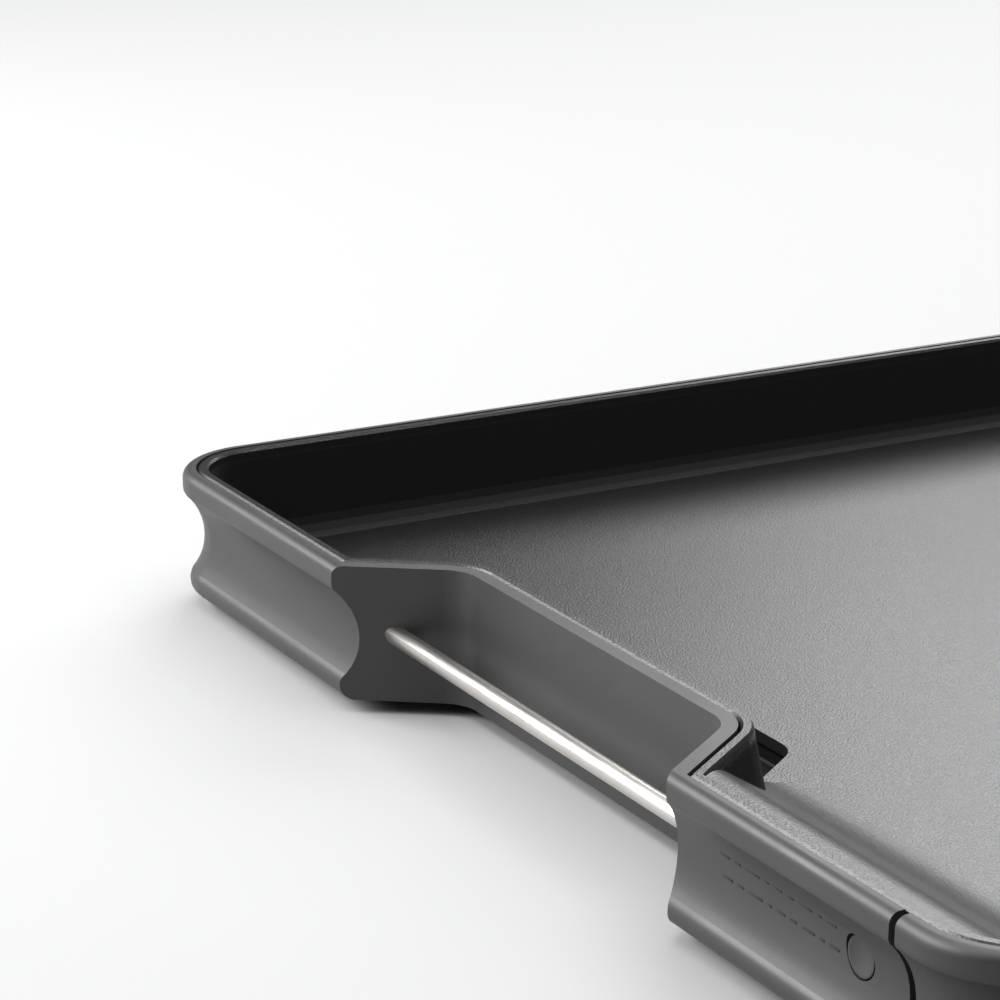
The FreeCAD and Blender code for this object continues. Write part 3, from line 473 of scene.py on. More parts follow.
FINISHES: dict[str, Finish] = {
    "frame_grey": Finish("frame_grey_satin", (0.029, 0.029, 0.030), roughness=0.47, ior=1.50,
                         grain=0.00022, grain_depth=0.000005, cloud=0.05, cloud_depth=0.05),
    "nonstick": NonstickFinish("nonstick_coating", (0.0045, 0.0045, 0.0052), roughness=0.33,
                               ior=1.55, grain=0.00030, grain_depth=0.000055, cloud=0.004,
                               cloud_depth=0.06, gloss_change=0.01),
    "stainless": BrushedFinish("stainless_brushed", (0.52, 0.50, 0.475), roughness=0.34,
                               along=Along.Y, grain_depth=0.0000012, gloss_change=0.05),
    "steel": Finish("zinc_steel", (0.60, 0.60, 0.59), roughness=0.34, metallic=1.0,
                    grain=0.0003, grain_depth=0.000006, cloud=0.006, cloud_depth=0.12),
    "element": SheathFinish("heater_sheath", (0.20, 0.19, 0.19), roughness=0.46,
                            grain=0.0003, grain_depth=0.000008),
    "ceramic": Finish("matt_ceramic", (0.80, 0.77, 0.70), roughness=0.62, grain=0.0006,
                      grain_depth=0.00002, cloud=0.008, cloud_depth=0.06),
    "reflector": BrushedFinish("bright_sheet", (0.80, 0.80, 0.81), roughness=0.24,
                               along=Along.X, grain_depth=0.000004),
    "pan_black": Finish("black_enamel", (0.020, 0.020, 0.021), roughness=0.55, grain=0.0011,
                        grain_depth=0.00004, cloud=0.04),
    "soft_feet": Finish("foot_rubber", (0.032, 0.032, 0.033), roughness=0.78, grain=0.0006,
                        grain_depth=0.00002, cloud=0.01),
    "carrier": Finish("carrier_plastic", (0.036, 0.036, 0.038), roughness=0.46, grain=0.0005,
                      grain_depth=0.00001, cloud=0.02),
    "tray": Finish("coated_sheet", (0.006, 0.006, 0.0065), roughness=0.62, ior=1.35,
                   grain=0.0005, grain_depth=0.000008, cloud=0.02),
    "control_black": Finish("control_plastic", (0.022, 0.022, 0.023), roughness=0.44,
                            grain=0.00045, grain_depth=0.000016, cloud=0.02),
    "dial": Finish("dial_plastic", (0.030, 0.030, 0.032), roughness=0.38, grain=0.0004,
                   grain_depth=0.00001, cloud=0.01),
    "brass": Finish("contact_brass", (0.74, 0.58, 0.28), roughness=0.30, metallic=1.0,
                    grain=0.0004, grain_depth=0.000005, cloud=0.005, cloud_depth=0.12),
    "lens": GlassFinish("pilot_lens", (0.85, 0.12, 0.05), roughness=0.12, grain=0.0008,
                        grain_depth=0.000002, cloud=0.003),
    "gland": Finish("gland_rubber", (0.024, 0.024, 0.025), roughness=0.62, grain=0.0005,
                    grain_depth=0.00001, cloud=0.006),
}
MARK_WHITE = Finish("printed_white", (0.62, 0.62, 0.60), roughness=0.5, grain=0.0002,
                    grain_depth=0.000003, cloud=0.003, cloud_depth=0.06)
MARK_GREY = Finish("moulded_mark", (0.012, 0.012, 0.012), roughness=0.60, grain=0.0002,
                   grain_depth=0.000003, cloud=0.004, cloud_depth=0.06)


class Wardrobe:
    """Materials that are built once and then shared."""

    def __init__(self) -> None:
        """Start empty."""
        self.made: dict[str, bpy.types.Material] = {}

    def get(self, finish: Finish) -> bpy.types.Material:
        """Material of a finish, built when it is first asked for.

        Args:
            finish: the finish.

        Returns:
            Its material.
        """
        if finish.name not in self.made:
            self.made[finish.name] = finish.material()
        return self.made[finish.name]

    def dress(self, piece: bpy.types.Object, finish: Finish) -> None:
        """Give a whole piece one finish.

        Args:
            piece: the object.
            finish: its finish.
        """
        material = self.get(finish)
        if not piece.data.materials:
            piece.data.materials.append(material)
        for slot in piece.material_slots:
            slot.material = material


WARDROBE = Wardrobe()


# ---------------------------------------------------------------- shaping
class Axis(Enum):
    """Direction of a cylinder's axis, as the turn that brings +Z onto it."""

    X = (0.0, math.pi / 2, 0.0)
    Y = (math.pi / 2, 0.0, 0.0)
    Z = (0.0, 0.0, 0.0)


class Shaper:
    """One piece in the making: a primitive that is then worked in edit mode."""

    def __init__(self, name: str) -> None:
        """Start a piece with nothing selected.

        Args:
            name: the piece's name.
        """
        self.name = name
        leave_edit_mode()
        bpy.ops.object.select_all(action="DESELECT")

    def adopt(self) -> "Shaper":
        """Take the active object as the piece, and put its place in its mesh.

        Returns:
            This piece.
        """
        self.piece = bpy.context.object
        self.rename(self.name)
        bpy.ops.object.transform_apply(location=True, rotation=True, scale=True)
        return self

    def rename(self, name: str) -> None:
        """Give the piece, its object and its mesh a name."""
        self.name = self.piece.name = self.piece.data.name = name

    def cylinder(self, centre: Vector, radius: float, length: float, axis: Axis = Axis.Z,
                 sides: int = 64) -> "Shaper":
        """Start from a cylinder.

        Args:
            centre: its middle.
            radius: its radius.
            length: its length along the axis.
            axis: direction of the axis.
            sides: number of side faces.

        Returns:
            This piece.
        """
        bpy.ops.mesh.primitive_cylinder_add(vertices=sides, radius=radius, depth=length,
                                            location=centre, rotation=axis.value)
        return self.adopt()

    def cube(self, low: Vector, high: Vector) -> "Shaper":
        """Start from a box between two corners."""
        bpy.ops.mesh.primitive_cube_add(size=1.0, location=(low + high) / 2, scale=high - low)
        return self.adopt()

    def dome(self, centre: Vector, radius: float, height: float) -> "Shaper":
        """Start from a sphere, flattened and cut off at its middle.

        Args:
            centre: middle of the flat underside.
            radius: radius of the underside.
            height: height of the dome above it.

        Returns:
            This piece.
        """
        bpy.ops.mesh.primitive_uv_sphere_add(segments=48, ring_count=24, radius=1.0,
                                             location=centre, scale=(radius, radius, height))
        self.adopt()
        bpy.ops.object.mode_set(mode="EDIT")
        bpy.ops.mesh.select_all(action="SELECT")
        bpy.ops.mesh.bisect(plane_co=centre, plane_no=(0.0, 0.0, 1.0), use_fill=True,
                            clear_inner=True)
        return self

    def faces(self, test: Callable[[Vector, Vector], bool]) -> "Shaper":
        """Select faces, and nothing else.

        Args:
            test: whether a face is wanted, from its middle and its normal.

        Returns:
            This piece.
        """
        bpy.ops.object.mode_set(mode="EDIT")
        bpy.ops.mesh.select_mode(type="FACE")
        bpy.ops.mesh.select_all(action="DESELECT")
        mesh = bmesh.from_edit_mesh(self.piece.data)
        for face in mesh.faces:
            face.select_set(test(face.calc_center_median(), face.normal))
        bmesh.update_edit_mesh(self.piece.data)
        return self

    def edges(self, test: Callable[[Vector, Vector], bool]) -> "Shaper":
        """Select edges, and nothing else.

        Args:
            test: whether an edge is wanted, from its middle and its direction.

        Returns:
            This piece.
        """
        bpy.ops.object.mode_set(mode="EDIT")
        bpy.ops.mesh.select_mode(type="EDGE")
        bpy.ops.mesh.select_all(action="DESELECT")
        mesh = bmesh.from_edit_mesh(self.piece.data)
        for edge in mesh.edges:
            start, end = (vertex.co for vertex in edge.verts)
            edge.select_set(test((start + end) / 2, (end - start).normalized()))
        bmesh.update_edit_mesh(self.piece.data)
        return self

    def upright_edges(self) -> "Shaper":
        """Select the edges that stand upright."""
        return self.edges(lambda at, way: abs(way.z) > ALONG)

    def inset(self, thickness: float, depth: float = 0.0) -> "Shaper":
        """Inset the selected faces, and raise or sink them."""
        bpy.ops.mesh.inset(thickness=thickness, depth=depth, use_boundary=True)
        return self

    def extrude(self, shift: Vector | tuple[float, float, float]) -> "Shaper":
        """Extrude the selected faces along a vector."""
        bpy.ops.mesh.extrude_region_move(TRANSFORM_OT_translate={"value": shift})
        return self

    def resize(self, factors: tuple[float, float, float], centre: Vector) -> "Shaper":
        """Scale what is selected about a point."""
        bpy.ops.transform.resize(value=factors, center_override=centre)
        return self

    def turn(self, angle: float, centre: Vector) -> "Shaper":
        """Turn the whole piece about an upright line.

        Args:
            angle: turn towards +Y from +X, in degrees.
            centre: a point of the line.

        Returns:
            This piece.
        """
        bpy.ops.object.mode_set(mode="EDIT")
        bpy.ops.mesh.select_all(action="SELECT")
        # With no window this operator turns the other way.
        bpy.ops.transform.rotate(value=-math.radians(angle), orient_axis="Z",
                                 center_override=centre)
        leave_edit_mode()
        return self

    def bevel(self, width: float, segments: int = 3) -> "Shaper":
        """Round the selected edges."""
        bpy.ops.mesh.bevel(offset=width, segments=segments, affect="EDGES")
        return self

    def carve(self, cutter: "Shaper") -> "Shaper":
        """Take another piece away from this one.

        Args:
            cutter: the other piece, which is used up.

        Returns:
            This piece.
        """
        leave_edit_mode()
        select_only(self.piece)
        cut = self.piece.modifiers.new("cut", "BOOLEAN")
        cut.operation, cut.object, cut.solver = "DIFFERENCE", cutter.piece, "EXACT"
        bpy.ops.object.modifier_apply(modifier=cut.name)
        bpy.data.objects.remove(cutter.piece)
        return self

    def add(self, others: Sequence["Shaper"]) -> "Shaper":
        """Join other pieces to this one.

        Args:
            others: the pieces, which are used up.

        Returns:
            This piece.
        """
        leave_edit_mode()
        select_only(self.piece)
        for other in others:
            other.piece.select_set(True)
        bpy.ops.object.join()
        return self

    def twin(self, name: str, shift: Vector | None = None) -> "Shaper":
        """Copy this piece, with its own mesh.

        Args:
            name: the copy's name.
            shift: how far it is moved, or None to leave it in place.

        Returns:
            The copy.
        """
        other = Shaper(name)
        select_only(self.piece)
        bpy.ops.object.duplicate(linked=False)
        bpy.context.object.location = shift or (0.0, 0.0, 0.0)
        return other.adopt()

    def done(self, finish: Finish, body: str, slot: str, nodes: tuple[str, ...] = ()) -> None:
        """Leave edit mode, shade and dress the piece, and tie it to its CAD body.

        Args:
            finish: its finish.
            body: CAD body that it rides on.
            slot: material slot of the record that it belongs to; not used.
            nodes: CAD nodes that it stands for.
        """
        leave_edit_mode()
        select_only(self.piece)
        bpy.ops.object.shade_smooth_by_angle(angle=SMOOTH_BELOW)
        WARDROBE.dress(self.piece, finish)
        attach(self.piece, body)
        if nodes:
            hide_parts(*nodes)
        LOG.info("%s: %d faces on %s", self.name, len(self.piece.data.polygons), body)
        bpy.ops.object.select_all(action="DESELECT")


def leave_edit_mode() -> None:
    """Go back to object mode if a piece is being edited."""
    if bpy.context.mode != "OBJECT":
        bpy.ops.object.mode_set(mode="OBJECT")


def select_only(piece: bpy.types.Object) -> None:
    """Make one object the only selected and the active one.

    Args:
        piece: the object.
    """
    bpy.ops.object.select_all(action="DESELECT")
    piece.select_set(True)
    bpy.context.view_layer.objects.active = piece


def extent_of(node: str) -> tuple[Vector, Vector, Vector]:
    """Lowest corner, highest corner and middle of a CAD node at rest."""
    low, high = (Vector(corner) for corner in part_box(node))
    return low, high, (low + high) / 2


# ---------------------------------------------------------------- pieces
@dataclass
class Handles:
    """Bare steel rods across the two hand recesses."""

    sides: int = 96
    chamfer: float = 0.45 * MM
    end_ring: float = 0.9 * MM        # flat ring round the dimple in each end
    dimple: float = 0.3 * MM

    def build(self) -> None:
        """Turn the left rod and copy it to the right."""
        low, high, middle = extent_of("handle_rod_left")
        radius = (high.x - low.x) / 2
        rod = Shaper("handle_bar_left").cylinder(middle, radius, high.y - low.y, Axis.Y,
                                                 self.sides)
        rod.faces(lambda at, way: abs(way.y) > ALONG)
        rod.inset(self.end_ring).inset(self.dimple, -self.dimple)
        rod.edges(lambda at, way: min(abs(at.y - low.y), abs(at.y - high.y)) < NEAR
                  and (at - middle).xz.length > radius - self.chamfer).bevel(self.chamfer)
        other = rod.twin("handle_bar_right", extent_of("handle_rod_right")[2] - middle)
        rod.done(FINISHES["stainless"], "base", "stainless", ("handle_rod_left",))
        other.done(FINISHES["stainless"], "base", "stainless", ("handle_rod_right",))


@dataclass
class ReleaseButton:
    """Round button in the scoop: raised ring round a shallow dish."""

    sides: int = 72
    ring: float = 0.75 * MM
    slope: float = 0.5 * MM
    dish: float = 0.28 * MM
    edge: float = 0.18 * MM

    def build(self) -> None:
        """Sink the dish into the button's face and round its rim."""
        low, high, middle = extent_of("release_button")
        radius = (high.y - low.y) / 2
        button = Shaper("latch_button").cylinder(middle, radius, high.x - low.x, Axis.X,
                                                 self.sides)
        button.faces(lambda at, way: way.x < -ALONG).inset(self.ring).inset(self.slope, -self.dish)
        button.edges(lambda at, way: at.x < low.x + NEAR
                     and (at - middle).yz.length > radius - self.ring / 2).bevel(self.edge)
        button.done(FINISHES["frame_grey"], "button", "frame_grey", ("release_button",))


@dataclass
class ScoopMarks:
    """Rows of small moulded dashes in the scoop, in place of any wording."""

    first: float = 57.0 * MM          # front of the griddle to the first dash
    heights: tuple[float, ...] = (26.0 * MM, 20.6 * MM)
    lengths: tuple[float, ...] = (3.4 * MM, 1.6 * MM, 4.6 * MM, 2.4 * MM, 3.0 * MM, 1.6 * MM,
                                  5.2 * MM, 2.2 * MM, 3.8 * MM)
    space: float = 1.9 * MM
    tall: float = 0.55 * MM
    proud: float = 0.14 * MM
    sunk: float = 0.10 * MM
    edge: float = 0.06 * MM
    look_from: float = 20.0 * MM      # how far outside the frame the surface is looked for

    def build(self) -> None:
        """Lay the dashes on the scoop's surface."""
        shell = frame["nodes"]["main_frame"]
        outside = extent_of("main_frame")[0].x - self.look_from
        inwards = Vector((1.0, 0.0, 0.0))
        dashes: list[Shaper] = []
        for height in self.heights:
            y = extent_of("drawer_front")[0].y + self.first
            for length in self.lengths:
                start = Vector((outside, y + length / 2, height))
                found, spot, way, _ = shell.ray_cast(start, inwards)
                if found:
                    dashes.append(self._dash(len(dashes), spot, way, length))
                y += length + self.space
        marks = dashes[0].add(dashes[1:])
        marks.rename("scoop_marks")
        marks.done(MARK_GREY, "base", "frame_grey")

    def _dash(self, number: int, spot: Vector, way: Vector, length: float) -> Shaper:
        """One dash with rounded edges, turned to lie on the surface.

        Args:
            number: its number in the rows.
            spot: point of the surface under its middle.
            way: the surface's normal there.
            length: its length.

        Returns:
            The dash.
        """
        reach = Vector((self.proud + self.sunk, length, self.tall)) / 2
        dash = Shaper(f"dash_{number}").cube(-reach, reach)
        dash.edges(lambda at, along: True).bevel(self.edge, 2)
        leave_edit_mode()
        dash.piece.rotation_euler = (-way).to_track_quat("X", "Z").to_euler()
        dash.piece.location = spot + way * (self.proud - self.sunk) / 2
        return dash.adopt()


@dataclass
class DripTray:
    """Pressed tray with a turned rim that lies in the drawer."""

    corner: float = 5.0 * MM
    rim: float = 1.1 * MM
    rim_edge: float = 0.2 * MM
    sheet: float = 0.6 * MM
    draft: float = 0.6 * MM
    foot: float = 0.5 * MM            # height of the slope at the foot of the walls

    def build(self) -> None:
        """Sink the tray's inside from its top face."""
        low, high, _ = extent_of("drip_tray")
        tray = Shaper("grease_tray").cube(low, high)
        tray.upright_edges().bevel(self.corner, 6)
        tray.faces(lambda at, way: way.z > ALONG).inset(self.rim)
        tray.extrude((0.0, 0.0, -(high.z - low.z - self.sheet - self.foot)))
        tray.inset(self.draft, -self.foot)
        tray.edges(lambda at, way: at.z > high.z - NEAR and abs(way.z) < ACROSS)
        tray.bevel(self.rim_edge, 2)
        tray.done(FINISHES["tray"], "drawer", "tray", ("drip_tray",))


@dataclass
class Feet:
    """Soft feet with a stepped side and a cupped sole."""

    places: tuple[str, ...] = ("front_left", "front_right", "rear_left", "rear_right")
    sole: float = 2.2 * MM
    cup: float = 0.5 * MM
    chamfer: float = 0.5 * MM
    tread_height: float = 2.6 * MM
    stem_radius: float = 2.6 * MM
    barb_height: float = 1.4 * MM
    barb_spread: float = 1.4          # barb's width over the stem's

    def build(self) -> None:
        """Model the first foot and copy it to the other corners."""
        low, high, middle = extent_of("foot_" + self.places[0])
        radius, tread = (high.x - low.x) / 2, self.tread_height
        foot = Shaper("rubber_foot_" + self.places[0]).cylinder(
            Vector((middle.x, middle.y, low.z + tread / 2)), radius, tread)
        foot.edges(lambda at, way: at.z < low.z + NEAR
                   and (at.xy - middle.xy).length > radius - self.chamfer).bevel(self.chamfer)
        foot.faces(lambda at, way: way.z < -ALONG).inset(self.sole).inset(self.cup, -self.cup)
        foot.faces(lambda at, way: way.z > ALONG).inset(radius - self.stem_radius)
        foot.extrude((0.0, 0.0, high.z - low.z - tread - self.barb_height))
        foot.inset(0.0).resize((self.barb_spread, self.barb_spread, 1.0), middle)
        foot.extrude((0.0, 0.0, self.barb_height))
        feet = [foot] + [foot.twin("rubber_foot_" + place, extent_of("foot_" + place)[2] - middle)
                         for place in self.places[1:]]
        for place, one in zip(self.places, feet):
            one.done(FINISHES["soft_feet"], "base", "soft_feet", ("foot_" + place,))


@dataclass
class BaseScrews:
    """Pan-head screws with a cross recess, in the base pan."""

    sides: int = 40
    head: float = 3.0 * MM
    head_height: float = 1.4 * MM
    head_edge: float = 0.5 * MM
    shank: float = 1.5 * MM
    cross: float = 1.9 * MM
    cross_width: float = 0.55 * MM
    cross_depth: float = 0.8 * MM
    from_side: float = 13.4 * MM      # side of the griddle to a screw
    from_corner: float = 55.0 * MM    # corner of the griddle to a screw on its short side
    along_back: tuple[float, ...] = (-200.0 * MM, 0.0, 200.0 * MM)
    along_front: tuple[float, ...] = (-120.0 * MM, 40.0 * MM)

    def build(self) -> None:
        """Cut the cross into one screw and copy it to the other places."""
        corner = Vector(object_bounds()[1])
        bottom, top, _ = extent_of("base_screws")
        x, y = corner.x - self.from_side, corner.y - self.from_side
        far = corner.y - self.from_corner
        places = [*((at, y) for at in self.along_back), *((at, -y) for at in self.along_front),
                  (x, far), (x, -far), (-x, far)]
        first = Vector((*places[0], bottom.z + self.head_height / 2))
        screw = Shaper("base_screw_1").cylinder(first, self.head, self.head_height,
                                                sides=self.sides)
        screw.edges(lambda at, way: at.z < bottom.z + NEAR).bevel(self.head_edge, 4)
        screw.faces(lambda at, way: way.z > ALONG).inset(self.head - self.shank)
        screw.extrude((0.0, 0.0, top.z - bottom.z - self.head_height))
        centre = Vector((first.x, first.y, bottom.z))
        for reach in (Vector((self.cross, self.cross_width, self.cross_depth)),
                      Vector((self.cross_width, self.cross, self.cross_depth))):
            screw.carve(Shaper("cross").cube(centre - reach, centre + reach))
        screws = [screw] + [screw.twin(f"base_screw_{n}", Vector((*place, first.z)) - first)
                            for n, place in enumerate(places[1:], 2)]
        for one in screws:
            one.done(FINISHES["steel"], "base", "steel", ("base_screws",))


@dataclass
class Knob:
    """Fluted knob of the control, with a tapered grip bar and a pointer line."""

    flutes: int = 24
    flute_depth: float = 0.7 * MM
    flute_edge: float = 0.12 * MM
    skirt: float = 3.4 * MM
    skirt_edge: float = 0.35 * MM
    ring: float = 1.4 * MM
    dish_slope: float = 1.2 * MM
    dish: float = 0.5 * MM
    grip_half: float = 3.3 * MM
    grip_from_edge: float = 3.0 * MM
    grip_sunk: float = 0.9 * MM
    grip_corner: float = 2.6 * MM
    grip_edge: float = 0.6 * MM
    grip_taper: tuple[float, float, float] = (0.82, 0.97, 1.0)
    pointer_half: float = 0.5 * MM
    pointer_span: tuple[float, float] = (10.5 * MM, 4.6 * MM)   # in from the knob's edge
    pointer_sunk: float = 0.3 * MM
    pointer_proud: float = 0.05 * MM
    pointer_corner: float = 0.3 * MM

    def build(self) -> None:
        """Model the knob and its pointer."""
        low, high, middle = extent_of("temperature_dial")
        knob = self._skirt(low, high, middle)
        knob.add([self._grip(low, high, middle)])
        knob.done(FINISHES["dial"], "dial", "dial", ("temperature_dial",))
        begin, end = self.pointer_span
        pointer = Shaper("knob_pointer").cube(
            Vector((middle.x - self.pointer_half, high.y - begin, high.z - self.pointer_sunk)),
            Vector((middle.x + self.pointer_half, high.y - end, high.z + self.pointer_proud)))
        pointer.upright_edges().bevel(self.pointer_corner, 4)
        pointer.done(MARK_WHITE, "dial", "dial")

    def _skirt(self, low: Vector, high: Vector, middle: Vector) -> Shaper:
        """Fluted disc with a shallow dish round the grip.

        Args:
            low: lowest corner of the dial.
            high: its highest corner.
            middle: its middle.

        Returns:
            The disc.
        """
        at_skirt = Vector((middle.x, middle.y, low.z + self.skirt / 2))
        disc = Shaper("knob").cylinder(at_skirt, (high.x - low.x) / 2, self.skirt,
                                       sides=self.flutes * 4)
        step, top = 2 * math.pi / self.flutes, low.z + self.skirt

        def in_flute(at: Vector, way: Vector) -> bool:
            """Side faces in the first half of each step round the knob."""
            turned = math.atan2(at.y - middle.y, at.x - middle.x) % step
            return abs(way.z) < ACROSS and turned < step / 2

        disc.faces(in_flute).inset(self.flute_edge, -self.flute_depth)
        disc.edges(lambda at, way: at.z > top - NEAR and abs(way.z) < ACROSS)
        disc.bevel(self.skirt_edge)
        disc.faces(lambda at, way: way.z > ALONG and at.z > top - NEAR)
        return disc.inset(self.ring).inset(self.dish_slope, -self.dish)

    def _grip(self, low: Vector, high: Vector, middle: Vector) -> Shaper:
        """Bar that the fingers turn, narrower at its top.

        Args:
            low: lowest corner of the dial.
            high: its highest corner.
            middle: its middle.

        Returns:
            The bar.
        """
        half, gap = self.grip_half, self.grip_from_edge
        grip = Shaper("grip").cube(
            Vector((middle.x - half, low.y + gap, low.z + self.skirt - self.grip_sunk)),
            Vector((middle.x + half, high.y - gap, high.z)))
        grip.upright_edges().bevel(self.grip_corner, 6)
        grip.faces(lambda at, way: way.z > ALONG).resize(self.grip_taper, middle)
        return grip.edges(lambda at, way: at.z > high.z - NEAR).bevel(self.grip_edge, 4)


@dataclass
class ScaleTicks:
    """Plain ticks printed on the control, beside the knob."""

    width: float = 0.35 * MM
    length: float = 2.6 * MM
    from_knob: float = 1.6 * MM
    sunk: float = 0.1 * MM
    proud: float = 0.06 * MM
    corner: float = 0.12 * MM
    turns: tuple[float, ...] = (-36.0, -18.0, 0.0, 18.0, 36.0, 144.0, 162.0, 180.0, 198.0, 216.0)

    def build(self) -> None:
        """Model one tick and turn its copies round the knob."""
        low, high, middle = extent_of("temperature_dial")
        top = extent_of("control_cover")[1].z
        near = middle.x + (high.x - low.x) / 2 + self.from_knob
        tick = Shaper("tick").cube(
            Vector((near, middle.y - self.width / 2, top - self.sunk)),
            Vector((near + self.length, middle.y + self.width / 2, top + self.proud)))
        tick.upright_edges().bevel(self.corner)
        centre = Vector((middle.x, middle.y, top))
        ticks = [tick.twin(f"tick_{number}").turn(angle, centre)
                 for number, angle in enumerate(self.turns)]
        bpy.data.objects.remove(tick.piece)
        marks = ticks[0].add(ticks[1:])
        marks.rename("scale_ticks")
        marks.done(MARK_WHITE, "control", "control_black")


@dataclass
class PilotLamp:
    """Domed lamp in the control's cover."""

    edge: float = 0.25 * MM           # how much narrower its foot is than the dome

    def build(self) -> None:
        """Raise the dome and run its foot down into the cover."""
        low, high, middle = extent_of("pilot_lens")
        top = extent_of("control_cover")[1].z
        lamp = Shaper("pilot_lamp").dome(Vector((middle.x, middle.y, top)),
                                         (high.x - low.x) / 2, high.z - top)
        lamp.faces(lambda at, way: way.z < -ALONG).inset(self.edge).extrude((0.0, 0.0, low.z - top))
        lamp.done(FINISHES["lens"], "control", "lens", ("pilot_lens",))


@dataclass
class CordRing:
    """Ribbed rubber ring where a cord would leave the control."""

    sides: int = 56
    ribs: int = 3
    groove: float = 2.0 * MM
    bore: float = 3.4 * MM
    bore_steps: int = 5               # depth of the bore, in widths of a rib

    def build(self) -> None:
        """Extrude the ribs one by one from the ring's end, then sink the bore."""
        low, high, middle = extent_of("cord_gland")
        radius, step = (high.x - low.x) / 2, (high.y - low.y) / (2 * self.ribs + 4)
        start = Vector((middle.x, high.y - step, middle.z))
        neck = radius - self.groove
        ring = Shaper("cord_ring").cylinder(start, neck, 2 * step, Axis.Y, self.sides)
        ring.faces(lambda at, way: way.y < -ALONG and (at - start).xz.length < radius / 2)
        ring.extrude((0.0, -step, 0.0))
        for rib in range(self.ribs):
            self._step_out(ring, radius / neck, step, start)
            if rib < self.ribs - 1:
                self._step_out(ring, neck / radius, step, start)
        ring.inset(radius - self.bore).extrude((0.0, self.bore_steps * step, 0.0))
        ring.done(FINISHES["gland"], "control", "gland", ("cord_gland",))

    @staticmethod
    def _step_out(ring: Shaper, factor: float, step: float, centre: Vector) -> None:
        """Widen or narrow the selected end, and extrude it by one step.

        Args:
            ring: the ring.
            factor: new width over the old one.
            step: length of the extrusion.
            centre: a point of the ring's axis.
        """
        ring.extrude((0.0, 0.0, 0.0)).resize((factor, 1.0, factor), centre)
        ring.extrude((0.0, -step, 0.0))


# ---------------------------------------------------------------- studio
def towards(azimuth: float, elevation: float) -> Vector:
    """Unit vector to where something stands.

    Args:
        azimuth: angle round the griddle, 0 in front and 90 at its right end, in degrees.
        elevation: angle above the worktop, in degrees.

    Returns:
        The vector.
    """
    a, e = math.radians(azimuth), math.radians(elevation)
    return Vector((math.sin(a) * math.cos(e), -math.cos(a) * math.cos(e), math.sin(e)))


def aim_at(thing: bpy.types.Object, target: Vector, back: Vector, distance: float) -> None:
    """Put a light or the camera in the scene, facing a point.

    Args:
        thing: the object.
        target: the point.
        back: unit vector from the point to the object.
        distance: how far away the object is.
    """
    bpy.context.scene.collection.objects.link(thing)
    thing.location = target + back * distance
    thing.rotation_euler = (-back).to_track_quat("-Z", "Y").to_euler()


@dataclass(frozen=True)
class Softbox:
    """Rectangular soft light.  Metres, degrees and watts."""

    name: str
    azimuth: float
    elevation: float
    distance: float
    width: float
    depth: float
    watts: float

    def place(self, target: Vector) -> None:
        """Hang the light so that it faces a point.

        Args:
            target: the point.
        """
        data = bpy.data.lights.new(self.name, "AREA")
        data.shape = "RECTANGLE"
        data.size, data.size_y = self.width, self.depth
        data.energy = self.watts
        aim_at(bpy.data.objects.new(self.name, data), target,
               towards(self.azimuth, self.elevation), self.distance)


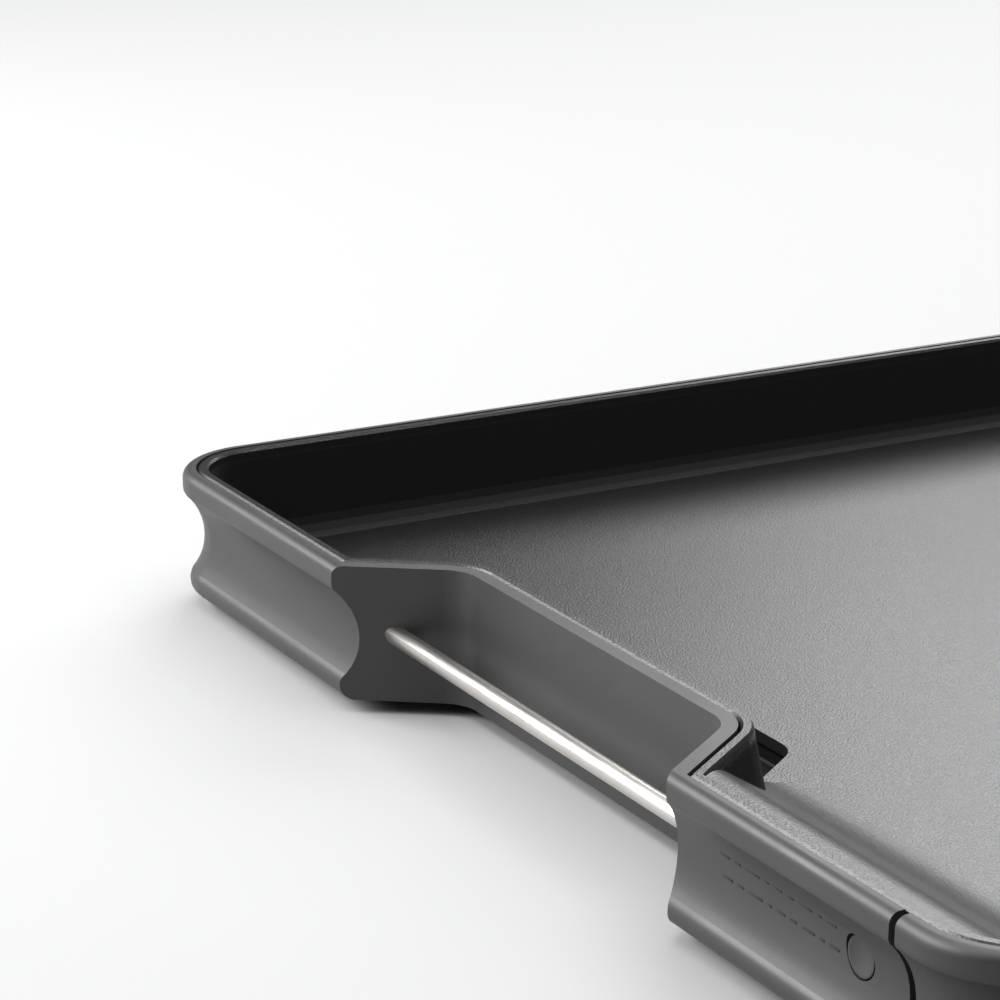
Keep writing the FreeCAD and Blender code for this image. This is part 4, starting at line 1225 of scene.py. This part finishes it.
@dataclass
class Studio:
    """Pale floor, soft lights and the camera.  Metres and degrees."""

    azimuth: float = -28.85
    elevation: float = 17.02
    distance: float = 0.9697
    lens: float = 117.3               # millimetres, on the sensor below
    sensor: float = 36.0
    aim_from_left: float = 0.106      # aim point inside the griddle's left end
    aim_from_back: float = 0.0104     # aim point in front of its back
    aim_height: float = 0.0136
    floor_size: float = 14.0
    floor_dark: tuple[float, float, float, float] = (0.37, 0.37, 0.372, 1.0)
    floor_pale: tuple[float, float, float, float] = (0.38, 0.38, 0.38, 1.0)
    air_colour: tuple[float, float, float, float] = (0.90, 0.93, 1.0, 1.0)
    air_strength: float = 0.12
    lights: tuple[Softbox, ...] = (
        Softbox("left_softbox", -122.0, 33.0, 1.6, 1.6, 1.0, 58.0),
        Softbox("back_softbox", 124.0, 34.0, 2.2, 1.6, 1.1, 31.0),
        Softbox("top_softbox", 90.0, 86.0, 2.4, 3.0, 3.0, 84.0),
    )

    def build(self, low: Vector, high: Vector) -> None:
        """Make the stage, the lights and the camera.

        Args:
            low: lowest corner of the griddle.
            high: its highest corner.
        """
        aim = Vector((low.x + self.aim_from_left, high.y - self.aim_from_back, self.aim_height))
        self._world()
        self._floor()
        for light in self.lights:
            light.place(aim)
        self._camera(aim)
        bpy.context.scene.view_settings.view_transform = "Standard"

    def _world(self) -> None:
        """Even, dim surroundings."""
        world = bpy.data.worlds.new("studio")
        world.use_nodes = True
        background = next(n for n in world.node_tree.nodes if n.type == "BACKGROUND")
        background.inputs["Color"].default_value = self.air_colour
        background.inputs["Strength"].default_value = self.air_strength
        bpy.context.scene.world = world

    def _floor(self) -> None:
        """Plain pale worktop."""
        bpy.ops.mesh.primitive_plane_add(size=self.floor_size)
        floor = bpy.context.object
        floor.name = "studio_floor"
        graph = Graph("pale_floor")
        colour = graph.mix(graph.noise(0.5, 2.0), self.floor_dark, self.floor_pale)
        graph.shade(Base_Color=colour, Roughness=0.75)
        floor.data.materials.append(graph.material)
        floor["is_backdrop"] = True

    def _camera(self, aim: Vector) -> None:
        """Low view across the corner with the drawer.

        Args:
            aim: point that the camera looks at.
        """
        data = bpy.data.cameras.new("camera")
        data.sensor_width = self.sensor
        data.lens = self.lens
        camera = bpy.data.objects.new("camera", data)
        aim_at(camera, aim, towards(self.azimuth, self.elevation), self.distance)
        bpy.context.scene.camera = camera


def dress_cad() -> None:
    """Give every CAD node that is still shown the finish of its slot."""
    for part in frame["record"]["subparts"]:
        node = frame["nodes"][part["node"]]
        if not node.hide_render:
            WARDROBE.dress(node, FINISHES[part["material_slot"]])


def main() -> None:
    """Build the pieces, dress the CAD nodes and set the studio."""
    logging.basicConfig(level=logging.INFO, format="%(message)s")
    bpy.ops.object.select_all(action="DESELECT")
    low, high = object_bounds()
    for assembly in (Handles(), ReleaseButton(), ScoopMarks(), DripTray(), Feet(), BaseScrews(),
                     Knob(), ScaleTicks(), PilotLamp(), CordRing()):
        assembly.build()
        LOG.info("built %s", type(assembly).__name__)
    dress_cad()
    Studio().build(low, high)


if __name__ == "__main__":
    main()
